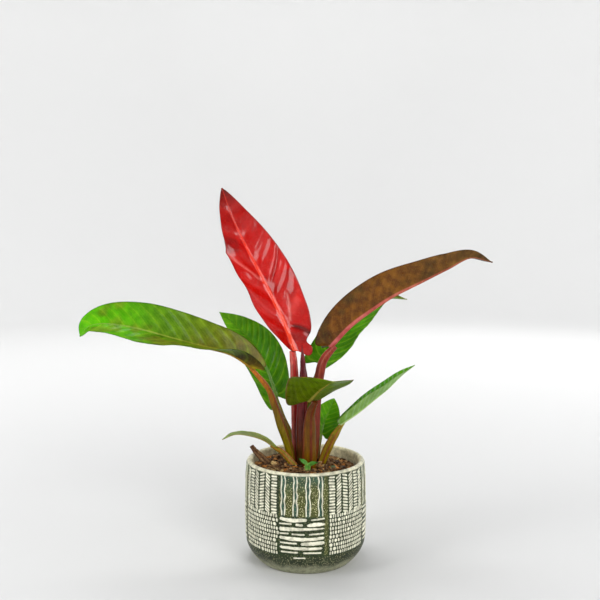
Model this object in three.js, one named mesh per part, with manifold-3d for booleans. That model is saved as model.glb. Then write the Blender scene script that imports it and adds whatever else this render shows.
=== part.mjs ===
/**
 * Potted philodendron.
 *
 * A glazed stoneware pot filled with bark soil, and in it a short rooted stem that carries nine
 * leaves, each a stalk and a blade, with a rolled new leaf, a dried stalk, a sprout, a leaflet and
 * loose bark chips. Millimetres, +Z up. The pot's axis is the Z axis, and it stands on z = 0.
 * The front of the plant faces -Y.
 */
import * as THREE from 'three';
import { mergeVertices } from 'three/addons/utils/BufferGeometryUtils.js';
import Module from 'manifold-3d';

// ---------------------------------------------------------------------------------------------
// Driving dimensions
// ---------------------------------------------------------------------------------------------

const GAP = 0.3; // clearance between two pieces that touch

const POT = {
  height: 111,
  rimRadius: 65, // outside of the lip
  swell: 2.5, // how far the widest place of the wall stands out past the lip
  footInset: 13, // how far the flat underside stays in from the lip
  footRound: 1, // small round where the underside turns up
  cornerHeight: 30, // where the round from the underside reaches the wall
  insideCorner: 19, // round between the floor and the inside of the wall
  lipHeight: 4, // the lip draws in over this height
  wall: 6,
  floor: 8, // thickness of the bottom
  segments: 48,
};

const SOIL = {
  belowRim: 12, // depth of the soil's edge under the rim
  mound: 6, // height of the heap round the stem, above the soil's edge
  rings: 7,
};

const STEM = {
  radius: 18, // crown that carries the stalks
  shoulder: 10, // depth of the crown's full width
  neckRadius: 8,
  neck: 26, // depth where the crown has narrowed to the neck
  endRadius: 5,
  depth: 46, // length under the soil
};

const ROOT = {
  count: 5,
  radius: 2.4, // at the stem
  tipRadius: 1.2,
  start: 28, // depth where the roots leave the stem
  fromWall: 25, // how far the tips stay from the inside of the pot
  fromFloor: 39,
};

const BLADE = {
  thickness: 1.1, // at the midrib
  edgeThickness: 0.7,
  ribDepth: 2.4, // how far the midrib stands out below, at the stalk
  curl: 0.2, // how far each half goes on bending from the midrib to the edge, in radians
  stub: 0.03, // width where the blade meets its stalk, as a share of the widest
  lobeAt: 0.07, // where the lobes beside the stalk reach furthest back, as a share of the midrib
  lengthSteps: 13,
  widthSteps: 6,
};

const STALK = { steps: 9, sides: 8, buried: 5, underBlade: 5, flatness: 0.8 };

const CHIP = {
  count: 24,
  length: 13,
  width: 8,
  height: 5,
  fromStem: 8, // to the middle of the nearest chip
  fromWall: 8,
};

// ---------------------------------------------------------------------------------------------
// Derived dimensions
// ---------------------------------------------------------------------------------------------

const MOUTH_RADIUS = POT.rimRadius - POT.wall;
const BELLY_RADIUS = POT.rimRadius + POT.swell;
const FOOT_RADIUS = POT.rimRadius - POT.footInset;
const SOIL_EDGE = POT.height - SOIL.belowRim;
const CROWN = SOIL_EDGE + SOIL.mound; // the plant grows from (0, 0, CROWN)

// ---------------------------------------------------------------------------------------------
// Leaves. Points are [x, y, z] from the crown. `face` is the way that the upper side looks, from
// the stalk to the tip. `fold` is how far each half is lifted, in degrees, from the stalk to the
// tip, and `half` is the widest half blade: left, then right, seen from above with the tip away.
// ---------------------------------------------------------------------------------------------

const LEAVES = [
  {
    name: 'red_leaf',
    color: 0xb01414,
    stalkColor: 0xa8323a,
    stalk: [[-9, 7, 0], [-10, 8, 25], [-11, 9, 63], [-12, 9, 90], [-13, 10, 110], [-12, 10, 119]],
    width: [11, 10.5, 10, 9.5, 8.5, 7],
    midrib: [[-12, 10, 119], [-28, 15, 159], [-47, 22, 198], [-66, 30, 235], [-82, 37, 269], [-95, 44, 305]],
    face: [[0.25, -1, 0.15], [0.3, -1, 0.1], [0.2, -1, 0.1]],
    half: [31, 35],
    fold: [[30, 25, 20, 15], [15, 10, 10, 10]],
    widest: 0.38,
    taper: 0.8,
    lobe: [-3, 22],
  },
  {
    name: 'bronze_leaf',
    color: 0x7a4a1c,
    stalkColor: 0x9a4a48,
    stalk: [[7, 3, 0], [10, 3, 19], [11.5, 2, 64], [15.7, 2, 100], [20.7, 2, 116], [27, 2, 128]],
    width: [10, 10.5, 10.5, 10.5, 9.5, 7],
    midrib: [[27, 2, 128], [48, 0, 151], [71, -2, 169], [95, -4, 185], [124, -7, 200], [153, -10, 215],
      [177, -12, 227], [200, -14, 222]],
    face: [[-0.5, 0.55, 0.75], [-0.4, 0.6, 0.75], [-0.3, 0.6, 0.75]],
    half: [31, 31],
    fold: [[55, 50, 40, 15], [50, 45, 35, 15]],
    widest: 0.3,
    taper: 1,
    lobe: [20, 20],
  },
  {
    name: 'left_leaf',
    color: 0x4f9a18,
    stalkColor: 0x8a7412,
    stalk: [[-14, -6, 0], [-17, -6, 17], [-25, -8, 43], [-33, -9, 66], [-41, -11, 86], [-54, -14, 107]],
    width: [8, 11, 13, 10, 7, 5],
    midrib: [[-54, -14, 107], [-79, -16, 124], [-112, -18, 133], [-141, -20, 141], [-175, -22, 151],
      [-207, -24, 157], [-229, -25, 155], [-240, -26, 144]],
    face: [[0.2, -0.45, 0.9], [0, -0.6, 0.8], [0, -0.5, 0.85]],
    half: [27, 31],
    fold: [[80, 45, 15, 15], [28, 32, 30, 20]],
    widest: 0.45,
    taper: 0.8,
    lobe: [20, 20],
  },
  {
    name: 'back_left_leaf',
    color: 0x2c8a16,
    stalkColor: 0x5a8020,
    stalk: [[-8, 17, 0], [-17, 22, 25], [-27, 30, 47], [-33, 36, 65]],
    width: [9, 8, 6.5, 4.5],
    midrib: [[-33, 36, 65], [-43, 42, 93], [-57, 48, 121], [-77, 54, 143], [-100, 60, 162]],
    face: [[0.2, -1, 0.3], [0.3, -1, 0.5], [0.3, -1, 0.7]],
    half: [26, 26],
    fold: [[15, 15], [15, 15]],
    widest: 0.42,
    taper: 0.9,
    lobe: [20, 12],
  },
  {
    name: 'back_right_leaf',
    color: 0x2f8c18,
    stalkColor: 0x5a8020,
    stalk: [[3, 13, 0], [2, 18, 35], [6, 24, 70], [14, 30, 106]],
    width: [9, 8, 6.5, 4.5],
    midrib: [[14, 30, 106], [34, 40, 125], [56, 52, 151], [88, 68, 177], [122, 84, 175]],
    face: [[-0.4, -0.9, 0.6], [-0.3, -0.8, 0.8], [0, -0.5, 1]],
    half: [26, 26],
    fold: [[15, 15], [15, 15]],
    widest: 0.38,
    taper: 1,
    lobe: [17, 17],
  },
  {
    name: 'front_leaf',
    color: 0x5c8010,
    stalkColor: 0x9a6420,
    stalk: [[4, -15, 0], [4, -16, 37], [5, -20, 59], [8, -25, 73]],
    width: [15, 14, 10, 6],
    midrib: [[8, -25, 73], [13, -36, 81], [20, -50, 91], [27, -63, 99], [32, -75, 104]],
    face: [[-0.35, 0.75, 1], [-0.3, 0.7, 1], [-0.2, 0.6, 1]],
    half: [36, 38],
    fold: [[20, 15], [20, 10]],
    widest: 0.42,
    taper: 0.5,
    lobe: [12, 30],
  },
  {
    name: 'small_back_leaf',
    color: 0x3c9a1c,
    stalkColor: 0x6a8c20,
    stalk: [[13, 14, 0], [15, 21, 13], [18, 28, 25]],
    width: [6.5, 5, 3.5],
    midrib: [[18, 28, 25], [21, 31, 38], [27, 33, 51], [33, 36, 65]],
    face: [[0.1, -1, 0.2], [0, -1, 0.2]],
    half: [17, 17],
    fold: [[12, 12], [12, 12]],
    widest: 0.42,
    taper: 0.8,
    lobe: [7, 7],
  },
  {
    name: 'right_leaf',
    color: 0x6a9a58,
    stalkColor: 0xa08218,
    stalk: [[18, 2, 0], [24, 4, 14], [31, 6, 27], [37, 8, 42]],
    width: [9, 10, 9, 4.5],
    midrib: [[37, 8, 42], [56, 10, 54], [73, 11, 67], [91, 12, 81], [106, 13, 95], [122, 14, 107]],
    face: [[-0.6, -0.35, 0.7], [-0.6, -0.35, 0.7], [-0.6, -0.4, 0.6]],
    half: [12, 16],
    fold: [[45, 45, 40, 30], [65, 60, 50, 30]],
    widest: 0.35,
    taper: 0.9,
    lobe: [7, 7],
  },
  {
    name: 'small_left_leaf',
    color: 0x4c7c30,
    stalkColor: 0x8c8418,
    stalk: [[-11.6, -14.4, 0], [-18.6, -13.8, 8.4], [-26, -12, 15.4], [-33, -10, 21]],
    width: [8, 7, 6, 4],
    midrib: [[-33, -10, 21], [-45, -8, 28], [-60, -6, 32], [-77, -4, 33], [-92, -2, 27]],
    face: [[0.2, 0.3, 1], [0, 0.25, 1], [-0.1, 0.25, 1]],
    half: [11, 11],
    fold: [[15, 15], [15, 15]],
    widest: 0.4,
    taper: 0.9,
    lobe: [5, 5],
  },
];

const SPEAR = {
  stalk: [[-4, -1, 0], [-5, -2, 35], [-4, -4, 65], [-2.5, -5, 93], [-3, -4, 111], [-4, -3, 132]],
  width: [10.5, 11.5, 11, 9, 6, 0.9],
};

const DRIED_STALK = {
  stalk: [[0, 0, 0], [-7, -1, 8], [-13, -3, 15], [-19, -4, 24]],
  width: [6, 5, 4, 2.4],
  fromWall: 17, // its foot, inside the mouth on the left
  y: 5,
};

const SPROUT = {
  stem: [[0, 0, 0], [0.5, 0, 4], [0, 0, 8]],
  arms: [[[0, 0, 6], [-4, 0, 10], [-9, 0, 14]], [[0, 0, 5], [5, -1, 8], [11, -1, 9]]],
  stemWidth: [6, 6, 1.2],
  armWidth: [4, 5, 1.2],
  fromWall: 33, // its foot, behind the front of the mouth
  x: 2,
};

const LEAFLET = { length: 15, width: 8, thickness: 1.6, x: 29, y: -9, tilt: -0.12 };

// ---------------------------------------------------------------------------------------------
// Helpers
// ---------------------------------------------------------------------------------------------

const wasm = await Module();
wasm.setup();

const group = new THREE.Group();

/** Adds a named mesh with its own material to the model. */
function addPart(name, geometry, color, roughness = 0.5, metalness = 0) {
  const mesh = new THREE.Mesh(geometry, new THREE.MeshStandardMaterial({ color, roughness, metalness }));
  mesh.name = name;
  group.add(mesh);
  return mesh;
}

/** Merges a geometry's shared vertices, leaving only positions. */
function weld(geometry) {
  const bare = geometry.clone();
  bare.deleteAttribute('normal');
  bare.deleteAttribute('uv');
  return mergeVertices(bare, 1e-4);
}

/** A closed geometry as a solid for joining and cutting. */
function toSolid(geometry) {
  const welded = weld(geometry);
  const vertProperties = new Float32Array(welded.attributes.position.array);
  const triVerts = new Uint32Array(welded.index.array);
  return new wasm.Manifold(new wasm.Mesh({ numProp: 3, vertProperties, triVerts }));
}

/** A joined or cut solid as a geometry. */
function toGeometry(solid) {
  const mesh = solid.getMesh();
  const geometry = new THREE.BufferGeometry();
  geometry.setAttribute('position', new THREE.BufferAttribute(new Float32Array(mesh.vertProperties), 3));
  geometry.setIndex(new THREE.BufferAttribute(new Uint32Array(mesh.triVerts), 1));
  geometry.computeVertexNormals();
  return geometry;
}

/** The largest of the separate bodies of a cut solid. */
function largestBody(solid) {
  return solid.decompose().reduce((best, body) => (body.volume() > best.volume() ? body : best));
}

/** Moves every vertex of a geometry to map(x, y, z), a Vector3. */
function reshape(geometry, map) {
  const position = geometry.attributes.position;
  for (let i = 0; i < position.count; i += 1) {
    const moved = map(position.getX(i), position.getY(i), position.getZ(i));
    position.setXYZ(i, moved.x, moved.y, moved.z);
  }
  return geometry;
}

/** A smooth curve through [x, y, z] points. */
const toCurve = (points) =>
  new THREE.CatmullRomCurve3(points.map((point) => new THREE.Vector3(...point)), false, 'catmullrom');

/** Value at t from 0 to 1 of a smooth run through evenly spaced numbers. */
function along(values, t) {
  const last = values.length - 1;
  const place = Math.min(Math.max(t, 0), 1) * last;
  const i = Math.min(Math.floor(place), last - 1);
  const blend = THREE.MathUtils.smoothstep(place - i, 0, 1);
  return THREE.MathUtils.lerp(values[i], values[i + 1], blend);
}

/** Direction across a curve at t that lies nearest to `toward`. */
function acrossCurve(tangent, toward) {
  return toward.clone().addScaledVector(tangent, -toward.dot(tangent)).normalize();
}

/** Repeatable number from 0 to 1. */
function scatter(seed) {
  const value = Math.sin(seed * 127.1 + 11.7) * 43758.5453;
  return value - Math.floor(value);
}

/** Height of the heaped soil at a distance from the axis. */
const soilHeight = (radius) =>
  SOIL_EDGE + SOIL.mound * (0.5 + 0.5 * Math.cos((Math.PI * radius) / MOUTH_RADIUS));

/** A turned solid from [radius, height] points, starting and ending on the axis. */
function turned(profile, segments = POT.segments) {
  const geometry = new THREE.LatheGeometry(profile.map(([r, z]) => new THREE.Vector2(r, z)), segments);
  return geometry.rotateX(Math.PI / 2);
}

// ---------------------------------------------------------------------------------------------
// Pot, soil, stem and roots
// ---------------------------------------------------------------------------------------------

/** Outside of the pot, from the underside up to the lip, as [radius, height]. */
function potOutside() {
  const lowerWall = BELLY_RADIUS - 0.6;
  const upperWall = BELLY_RADIUS - 0.8;
  const corner = new THREE.QuadraticBezierCurve(
    new THREE.Vector2(FOOT_RADIUS, POT.footRound),
    new THREE.Vector2(lowerWall, POT.cornerHeight * 0.45),
    new THREE.Vector2(lowerWall, POT.cornerHeight),
  );
  return [
    [0, 0],
    [FOOT_RADIUS - POT.footRound, 0],
    ...corner.getPoints(6).map((point) => [point.x, point.y]),
    [BELLY_RADIUS, POT.height * 0.5],
    [upperWall, POT.height * 0.86],
    [POT.rimRadius + 0.6, POT.height - POT.lipHeight],
  ];
}

/** Inside of the pot below the lip, drawn in by `inset`, from the soil's edge down to the axis. */
function cavityProfile(inset) {
  const bottom = POT.floor + inset;
  const radius = MOUTH_RADIUS - inset;
  const points = [[radius, SOIL_EDGE]];
  const steps = 5;
  for (let i = 0; i <= steps; i += 1) {
    const angle = (i / steps) * (Math.PI / 2);
    const inward = POT.insideCorner * (1 - Math.cos(angle));
    points.push([radius - inward, bottom + POT.insideCorner * (1 - Math.sin(angle))]);
  }
  points.push([0, bottom]);
  return points;
}

/** The rounded lip and the inside of the pot, from the lip down to the floor. */
function potInside() {
  const lip = POT.wall / 2;
  const points = [];
  const steps = 5;
  for (let i = 0; i <= steps; i += 1) {
    const angle = (i / steps) * Math.PI;
    points.push([POT.rimRadius - lip + lip * Math.cos(angle), POT.height - lip + lip * Math.sin(angle)]);
  }
  return [...points, ...cavityProfile(0)];
}

/** Soil surface from the axis out to a radius, raised by `lift`. */
function soilSurface(outer, lift) {
  const points = [];
  for (let i = 0; i <= SOIL.rings; i += 1) {
    const radius = (outer * i) / SOIL.rings;
    points.push([radius, soilHeight(radius) + lift]);
  }
  return points;
}

/** Stem and main roots, grown by `grow`, with the crown's top raised by `above`. */
function stemWithRoots(grow = 0, above = 0) {
  const profile = [
    [0, CROWN - STEM.depth - grow],
    [STEM.endRadius + grow, CROWN - STEM.depth - grow],
    [STEM.neckRadius + grow, CROWN - STEM.neck],
    [STEM.radius + grow, CROWN - STEM.shoulder],
    [STEM.radius + grow, soilHeight(STEM.radius) + above],
    [STEM.radius / 2, soilHeight(STEM.radius / 2) + above],
    [0, CROWN + above],
  ];
  const start = CROWN - ROOT.start;
  const end = POT.floor + ROOT.fromFloor;
  const reach = MOUTH_RADIUS - ROOT.fromWall;
  const widths = [ROOT.radius * 2 + grow * 2, ROOT.tipRadius * 2 + grow * 2];
  let solid = toSolid(turned(profile, 20));
  for (let i = 0; i < ROOT.count; i += 1) {
    const angle = (i / ROOT.count) * Math.PI * 2 + 0.4;
    const at = (radius, height) => [radius * Math.cos(angle), radius * Math.sin(angle), height];
    const route = [at(2, start), at(reach / 2, THREE.MathUtils.lerp(start, end, 0.2)), at(reach, end)];
    solid = solid.add(toSolid(tube(route, widths, widths, [0, 0, 1], { extend: grow, sides: 6 })));
  }
  return solid;
}

/**
 * A closed tube along a route, with a width and a depth at evenly spaced places. The depth is
 * measured towards `facing`. `extend` lengthens it at both ends.
 */
function tube(route, widths, depths, facing, { extend = 0, sides = STALK.sides } = {}) {
  const curve = toCurve(route);
  const reference = new THREE.Vector3(...facing);
  const shape = new THREE.CylinderGeometry(1, 1, 1, sides, STALK.steps);
  return reshape(shape, (x, y, z) => {
    const t = y + 0.5;
    const tangent = curve.getTangent(t);
    const normal = acrossCurve(tangent, reference);
    const across = tangent.clone().cross(normal);
    const centre = curve.getPoint(t).addScaledVector(tangent, extend * (2 * t - 1));
    return centre
      .addScaledVector(across, (x * along(widths, t)) / 2)
      .addScaledVector(normal, (z * along(depths, t)) / 2);
  });
}

// ---------------------------------------------------------------------------------------------
// Leaves
// ---------------------------------------------------------------------------------------------

/** Width of the blade at t, as a share of the widest: blunt at the stalk, drawn out at the tip. */
function outline(t, leaf) {
  const rising = Math.sqrt(Math.sin((Math.PI / 2) * Math.min(t / leaf.widest, 1)));
  const falling = Math.cos((Math.PI / 2) * Math.max((t - leaf.widest) / (1 - leaf.widest), 0)) ** leaf.taper;
  return Math.max(t < leaf.widest ? rising : falling, BLADE.stub);
}

/** Blade of a leaf: a flat sheet bent along its midrib, folded and curled, and grown by `grow`. */
function bladeGeometry(leaf, grow = 0) {
  const midrib = toCurve(leaf.midrib);
  const face = toCurve(leaf.face);
  const { curl } = BLADE;
  const sheet = new THREE.BoxGeometry(2, 1, 1, BLADE.widthSteps, BLADE.lengthSteps, 1);
  return reshape(sheet, (x, y, z) => {
    const t = y + 0.5;
    const side = x < 0 ? 0 : 1;
    const out = Math.abs(x);
    const tangent = midrib.getTangent(t);
    const normal = acrossCurve(tangent, face.getPoint(t));
    const across = tangent.clone().cross(normal);
    const half = leaf.half[side] * outline(t, leaf) + grow;
    const lift = THREE.MathUtils.degToRad(along(leaf.fold[side], t));
    const reach = (half * (Math.sin(lift + curl * out) - Math.sin(lift))) / curl;
    const rise = (half * (Math.cos(lift) - Math.cos(lift + curl * out))) / curl;
    const lobe = leaf.lobe[side] * (t / BLADE.lobeAt) * Math.exp(1 - t / BLADE.lobeAt) * out ** 1.5;
    const thickness = THREE.MathUtils.lerp(BLADE.thickness, BLADE.edgeThickness, out) / 2 + grow;
    const rib = z < 0 && out === 0 ? BLADE.ribDepth * (1 - t) : 0;
    const bend = out === 0 ? 0 : lift + curl * out;
    const sheetNormal = normal.clone().multiplyScalar(Math.cos(bend));
    sheetNormal.addScaledVector(across, -Math.sign(x) * Math.sin(bend));
    return midrib.getPoint(t)
      .addScaledVector(across, Math.sign(x) * reach)
      .addScaledVector(normal, rise)
      .addScaledVector(tangent, 2 * grow * (2 * t - 1) - lobe)
      .addScaledVector(sheetNormal, Math.sign(z) * thickness - rib);
  });
}

/** Everything that a stalk may not enter: the heaped soil and the stem's crown, raised by the gap. */
const raisedGround = soilSurface(MOUTH_RADIUS, GAP).reverse();
const groundCutter = toSolid(turned([[0, 0], [MOUTH_RADIUS, 0], ...raisedGround]));

/** A stalk's route, begun a little lower and straight on, so that its foot can be cut to its seat. */
function fromBelow(route) {
  const foot = new THREE.Vector3(...route[0]);
  const back = foot.clone().sub(new THREE.Vector3(...route[1])).normalize();
  return [foot.addScaledVector(back, STALK.buried).toArray(), ...route.slice(1)];
}

/** A tube of flattened section that runs up from under the soil, grown by `grow`. */
function uncutTube(route, widths, grow = 0) {
  const grown = widths.map((width) => width + 2 * grow);
  const depths = widths.map((width) => width * STALK.flatness + 2 * grow);
  return toSolid(tube(fromBelow(route), grown, depths, [0, -1, 0])).translate(0, 0, CROWN);
}

/** A tube that stands on the soil or on the stem's crown. */
const standingTube = (route, widths) => uncutTube(route, widths).subtract(groundCutter);

/** Stalk of a leaf, from the crown to a short way under its blade. */
function stalkSolid(leaf) {
  const midrib = toCurve(leaf.midrib);
  const base = midrib.getPoint(0);
  const tangent = midrib.getTangent(0);
  const normal = acrossCurve(tangent, new THREE.Vector3(...leaf.face[0]));
  const below = (leaf.width.at(-1) * STALK.flatness) / 2;
  const end = base.clone().addScaledVector(normal, -below).addScaledVector(tangent, STALK.underBlade);
  return standingTube([...leaf.stalk.slice(0, -1), end.toArray()], leaf.width);
}

/** Moves a route given from its own foot to a foot on the soil at (x, y). */
function footedAt(route, x, y) {
  const lift = soilHeight(Math.hypot(x, y)) - CROWN;
  return route.map((point) => [point[0] + x, point[1] + y, point[2] + lift]);
}

/** A green shoot of one stem and two pointed arms, grown by `grow`. */
function sproutSolid(grow = 0) {
  const y = SPROUT.fromWall - MOUTH_RADIUS;
  let solid = uncutTube(footedAt(SPROUT.stem, SPROUT.x, y), SPROUT.stemWidth, grow);
  for (const arm of SPROUT.arms) {
    solid = solid.add(uncutTube(footedAt(arm, SPROUT.x, y), SPROUT.armWidth, grow));
  }
  return solid;
}

/** The dried stalk, leaning out to the left over the rim, grown by `grow`. */
function driedSolid(grow = 0) {
  const route = footedAt(DRIED_STALK.stalk, DRIED_STALK.fromWall - MOUTH_RADIUS, DRIED_STALK.y);
  return uncutTube(route, DRIED_STALK.width, grow);
}

/** A small oval leaf lying on the soil, grown by `grow`. */
function leafletSolid(grow = 0) {
  const { length, width, thickness, x, y, tilt } = LEAFLET;
  const oval = new THREE.SphereGeometry(1, 12, 6);
  oval.scale(length / 2 + grow, width / 2 + grow, thickness + grow);
  oval.rotateY(tilt);
  oval.translate(x, y, soilHeight(Math.hypot(x, y)));
  return toSolid(oval);
}

/** What the chips lie round: the small pieces on the soil, grown by the gap. */
const litter = driedSolid(GAP).add(sproutSolid(GAP)).add(leafletSolid(GAP));

/** A bark chip: an uneven lump, longer than wide, bedded on the soil. */
function chipSolid(index) {
  const inner = STEM.radius + CHIP.fromStem;
  const outer = MOUTH_RADIUS - CHIP.fromWall;
  const goldenAngle = Math.PI * (3 - Math.sqrt(5));
  const radius = Math.sqrt(inner ** 2 + (outer ** 2 - inner ** 2) * ((index + 0.5) / CHIP.count));
  const angle = index * goldenAngle;
  const size = new THREE.Vector3(CHIP.length, CHIP.width, CHIP.height);
  size.multiplyScalar(0.75 + 0.25 * scatter(index)).multiplyScalar(0.5);
  const turn = Math.PI * scatter(index + 50);
  const lump = new THREE.IcosahedronGeometry(1, 0);
  reshape(lump, (x, y, z) => {
    const uneven = 0.85 + 0.15 * Math.sin(5 * x + 3 * y + 7 * z + index);
    return new THREE.Vector3(x, y, z).multiplyScalar(uneven).multiply(size);
  });
  lump.rotateX(0.4 * (scatter(index + 90) - 0.5));
  lump.rotateZ(turn);
  const height = soilHeight(radius) + size.z * 0.5;
  lump.translate(radius * Math.cos(angle), radius * Math.sin(angle), height);
  return toSolid(lump).subtract(groundCutter).subtract(litter);
}

// ---------------------------------------------------------------------------------------------
// Assembly
// ---------------------------------------------------------------------------------------------

const GLAZE = 0x4a5a48;
const BARK = [0x6b4528, 0x8a5a34, 0x4e3322];

addPart('pot', turned([...potOutside(), ...potInside()]), GLAZE, 0.55);

const soilProfile = [...soilSurface(MOUTH_RADIUS - GAP, 0), ...cavityProfile(GAP).slice(1)].reverse();
const soil = toSolid(turned(soilProfile)).subtract(stemWithRoots(GAP, SOIL.mound));
addPart('soil', toGeometry(soil), 0x3d2a1e, 0.95);
addPart('stem_with_roots', toGeometry(stemWithRoots()), 0x6a4a2a, 0.8);

const plant = new THREE.Matrix4().makeTranslation(0, 0, CROWN);
for (const leaf of LEAVES) {
  const blade = bladeGeometry(leaf).applyMatrix4(plant);
  const notch = toSolid(bladeGeometry(leaf, GAP).applyMatrix4(plant));
  const stalk = stalkSolid(leaf).subtract(notch);
  addPart(`${leaf.name}_blade`, toGeometry(toSolid(blade)), leaf.color, 0.35);
  addPart(`${leaf.name}_stalk`, toGeometry(largestBody(stalk)), leaf.stalkColor, 0.4);
}

const rolledLeaf = standingTube(SPEAR.stalk, SPEAR.width);
addPart('rolled_leaf', toGeometry(largestBody(rolledLeaf)), 0x4a1020, 0.35);
addPart('dried_stalk', toGeometry(largestBody(driedSolid().subtract(groundCutter))), 0x5a3a26, 0.9);
addPart('sprout', toGeometry(largestBody(sproutSolid().subtract(groundCutter))), 0x3f8030, 0.5);
addPart('leaflet', toGeometry(largestBody(leafletSolid().subtract(groundCutter))), 0x4c8a34, 0.5);

for (let index = 0; index < CHIP.count; index += 1) {
  const name = `bark_chip_${String(index + 1).padStart(2, '0')}`;
  addPart(name, toGeometry(largestBody(chipSolid(index))), BARK[index % BARK.length], 0.95);
}

export default group;
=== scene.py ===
"""Potted philodendron: the visible pieces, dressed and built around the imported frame.

Lengths in the tables below are millimetres from the plant's crown, the point where the
stalks leave the soil. Meshes are made in metres, in the frame's own axes: +Z up and the
front of the pot towards -Y.
"""

import logging
import math
from dataclasses import dataclass, field, replace
from enum import Enum

import bpy
import numpy as np
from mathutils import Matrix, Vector


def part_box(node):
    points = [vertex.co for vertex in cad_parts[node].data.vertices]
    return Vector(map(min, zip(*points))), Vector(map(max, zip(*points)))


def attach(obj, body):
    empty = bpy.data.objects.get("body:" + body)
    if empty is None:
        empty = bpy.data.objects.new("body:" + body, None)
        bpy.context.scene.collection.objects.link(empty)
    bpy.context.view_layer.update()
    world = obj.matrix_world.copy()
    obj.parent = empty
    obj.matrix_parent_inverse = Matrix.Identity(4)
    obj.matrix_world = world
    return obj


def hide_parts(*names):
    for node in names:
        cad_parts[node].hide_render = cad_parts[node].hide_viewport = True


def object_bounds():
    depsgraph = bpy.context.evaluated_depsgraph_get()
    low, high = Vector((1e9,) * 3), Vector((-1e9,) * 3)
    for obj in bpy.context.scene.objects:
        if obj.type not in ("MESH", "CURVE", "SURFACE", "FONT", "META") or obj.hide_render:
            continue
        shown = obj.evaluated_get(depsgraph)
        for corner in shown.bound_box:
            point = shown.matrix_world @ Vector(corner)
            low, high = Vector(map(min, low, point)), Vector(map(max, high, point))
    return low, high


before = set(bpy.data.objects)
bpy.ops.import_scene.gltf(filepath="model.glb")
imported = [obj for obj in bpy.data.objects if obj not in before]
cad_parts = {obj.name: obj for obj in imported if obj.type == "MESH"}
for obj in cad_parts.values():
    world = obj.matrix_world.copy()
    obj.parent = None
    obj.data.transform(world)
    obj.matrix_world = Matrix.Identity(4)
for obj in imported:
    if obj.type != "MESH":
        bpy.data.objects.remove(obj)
CAD_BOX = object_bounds()

LOG = logging.getLogger("potted_philodendron")
MM = 0.001
BODY = "root"
TURN = 2 * math.pi
HASH_MASK = 0xFFFFFFFF  # keeps the noise's whole numbers to 32 bits
HASH_HALF = 2147483648.0
HASH_PRIMES = (73856093, 19349663, 83492791)
HASH_FACTOR = 1103515245
HASH_STEP = 12345
SEED_FACTOR = 2654435761
OCTAVE_SHIFT = 17.3  # moves each finer layer of noise away from the last

Colour = tuple[float, float, float]
Point = tuple[float, float, float]
Run = list[tuple[float, Colour]]
Array = np.ndarray
Piece = bpy.types.Object
Material = bpy.types.Material
Socket = bpy.types.NodeSocket
Feed = Socket | float | tuple


def paint(red: float, green: float, blue: float) -> Colour:
    """Turn a display colour of 0 to 255 into the linear light that shaders use.

    Args:
        red: Red part, 0 to 255.
        green: Green part, 0 to 255.
        blue: Blue part, 0 to 255.

    Returns:
        The linear colour, 0 to 1.
    """
    return tuple((part / 255.0) ** 2.2 for part in (red, green, blue))


def stops(*rows: tuple[float, float, float, float]) -> Run:
    """Make a run of colours from rows that give a place and a display colour."""
    return [(place, paint(*colour)) for place, *colour in rows]


def both(colour: Colour, tip: Colour | None = None) -> Run:
    """Make a run of one colour, or of two from the stalk to the tip."""
    return [(0.0, colour), (1.0, tip or colour)]


class Slot(str, Enum):
    """The record's material slots."""

    STONEWARE = "stoneware"
    SOIL = "soil"
    BARK = "bark"
    STEM = "stem"
    DRIED_STALK = "dried_stalk"
    MAROON_STALK = "maroon_stalk"
    YOUNG_GREEN = "young_green"
    RED_BLADE = "red_blade"
    BRONZE_BLADE = "bronze_blade"
    GREEN_BLADE = "green_blade"
    RED_STALK = "red_stalk"
    OLIVE_STALK = "olive_stalk"


class Half(Enum):
    """The two halves of a blade, seen from above with the tip pointing away."""

    LEFT = 0
    RIGHT = 1


class Weave(Enum):
    """The kinds of slip stroke trailed on the pot's wall."""

    WAVY_LINES = "wavy_lines"
    BROAD_ROWS = "broad_rows"
    SLANTED_BRICKS = "slanted_bricks"
    SHORT_DASHES = "short_dashes"


# ---- Curves, noise and meshes ----


def unit(vectors: Array) -> Array:
    """Scale vectors to length one along their last axis."""
    return vectors / np.maximum(np.linalg.norm(vectors, axis=-1, keepdims=True), 1e-12)


def curve(points: list[Point], t: Array) -> Array:
    """Follow a smooth curve through evenly spaced points.

    Args:
        points: The points that the curve passes through.
        t: Places along it, 0 to 1.

    Returns:
        The point at each place.
    """
    knots = np.asarray(points, float)
    last = len(knots) - 1
    place = np.clip(np.asarray(t, float), 0.0, 1.0) * last
    i = np.minimum(np.floor(place).astype(int), last - 1)
    w = (place - i)[..., None]
    padded = np.vstack([2 * knots[0] - knots[1], knots, 2 * knots[-1] - knots[-2]])
    before, start, end, after = (padded[i + k] for k in range(4))
    leave = 0.5 * (end - before)
    arrive = 0.5 * (after - start)
    cube = 2 * start - 2 * end + leave + arrive
    square = -3 * start + 3 * end - 2 * leave - arrive
    return start + leave * w + square * w**2 + cube * w**3


def heading(points: list[Point], t: Array) -> Array:
    """Find the direction of travel along a smooth curve.

    Args:
        points: The points that the curve passes through.
        t: Places along it, 0 to 1.

    Returns:
        A direction of length one for each place.
    """
    step = 1e-3
    ahead = curve(points, np.minimum(t + step, 1.0))
    behind = curve(points, np.maximum(t - step, 0.0))
    return unit(ahead - behind)


def ease(t: Array) -> Array:
    """Smooth step from 0 to 1."""
    s = np.clip(t, 0.0, 1.0)
    return s * s * (3.0 - 2.0 * s)


def between(low: float, high: float, x: Array) -> Array:
    """Smooth step that is 0 at low and 1 at high."""
    return ease((np.asarray(x, float) - low) / (high - low))


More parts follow.
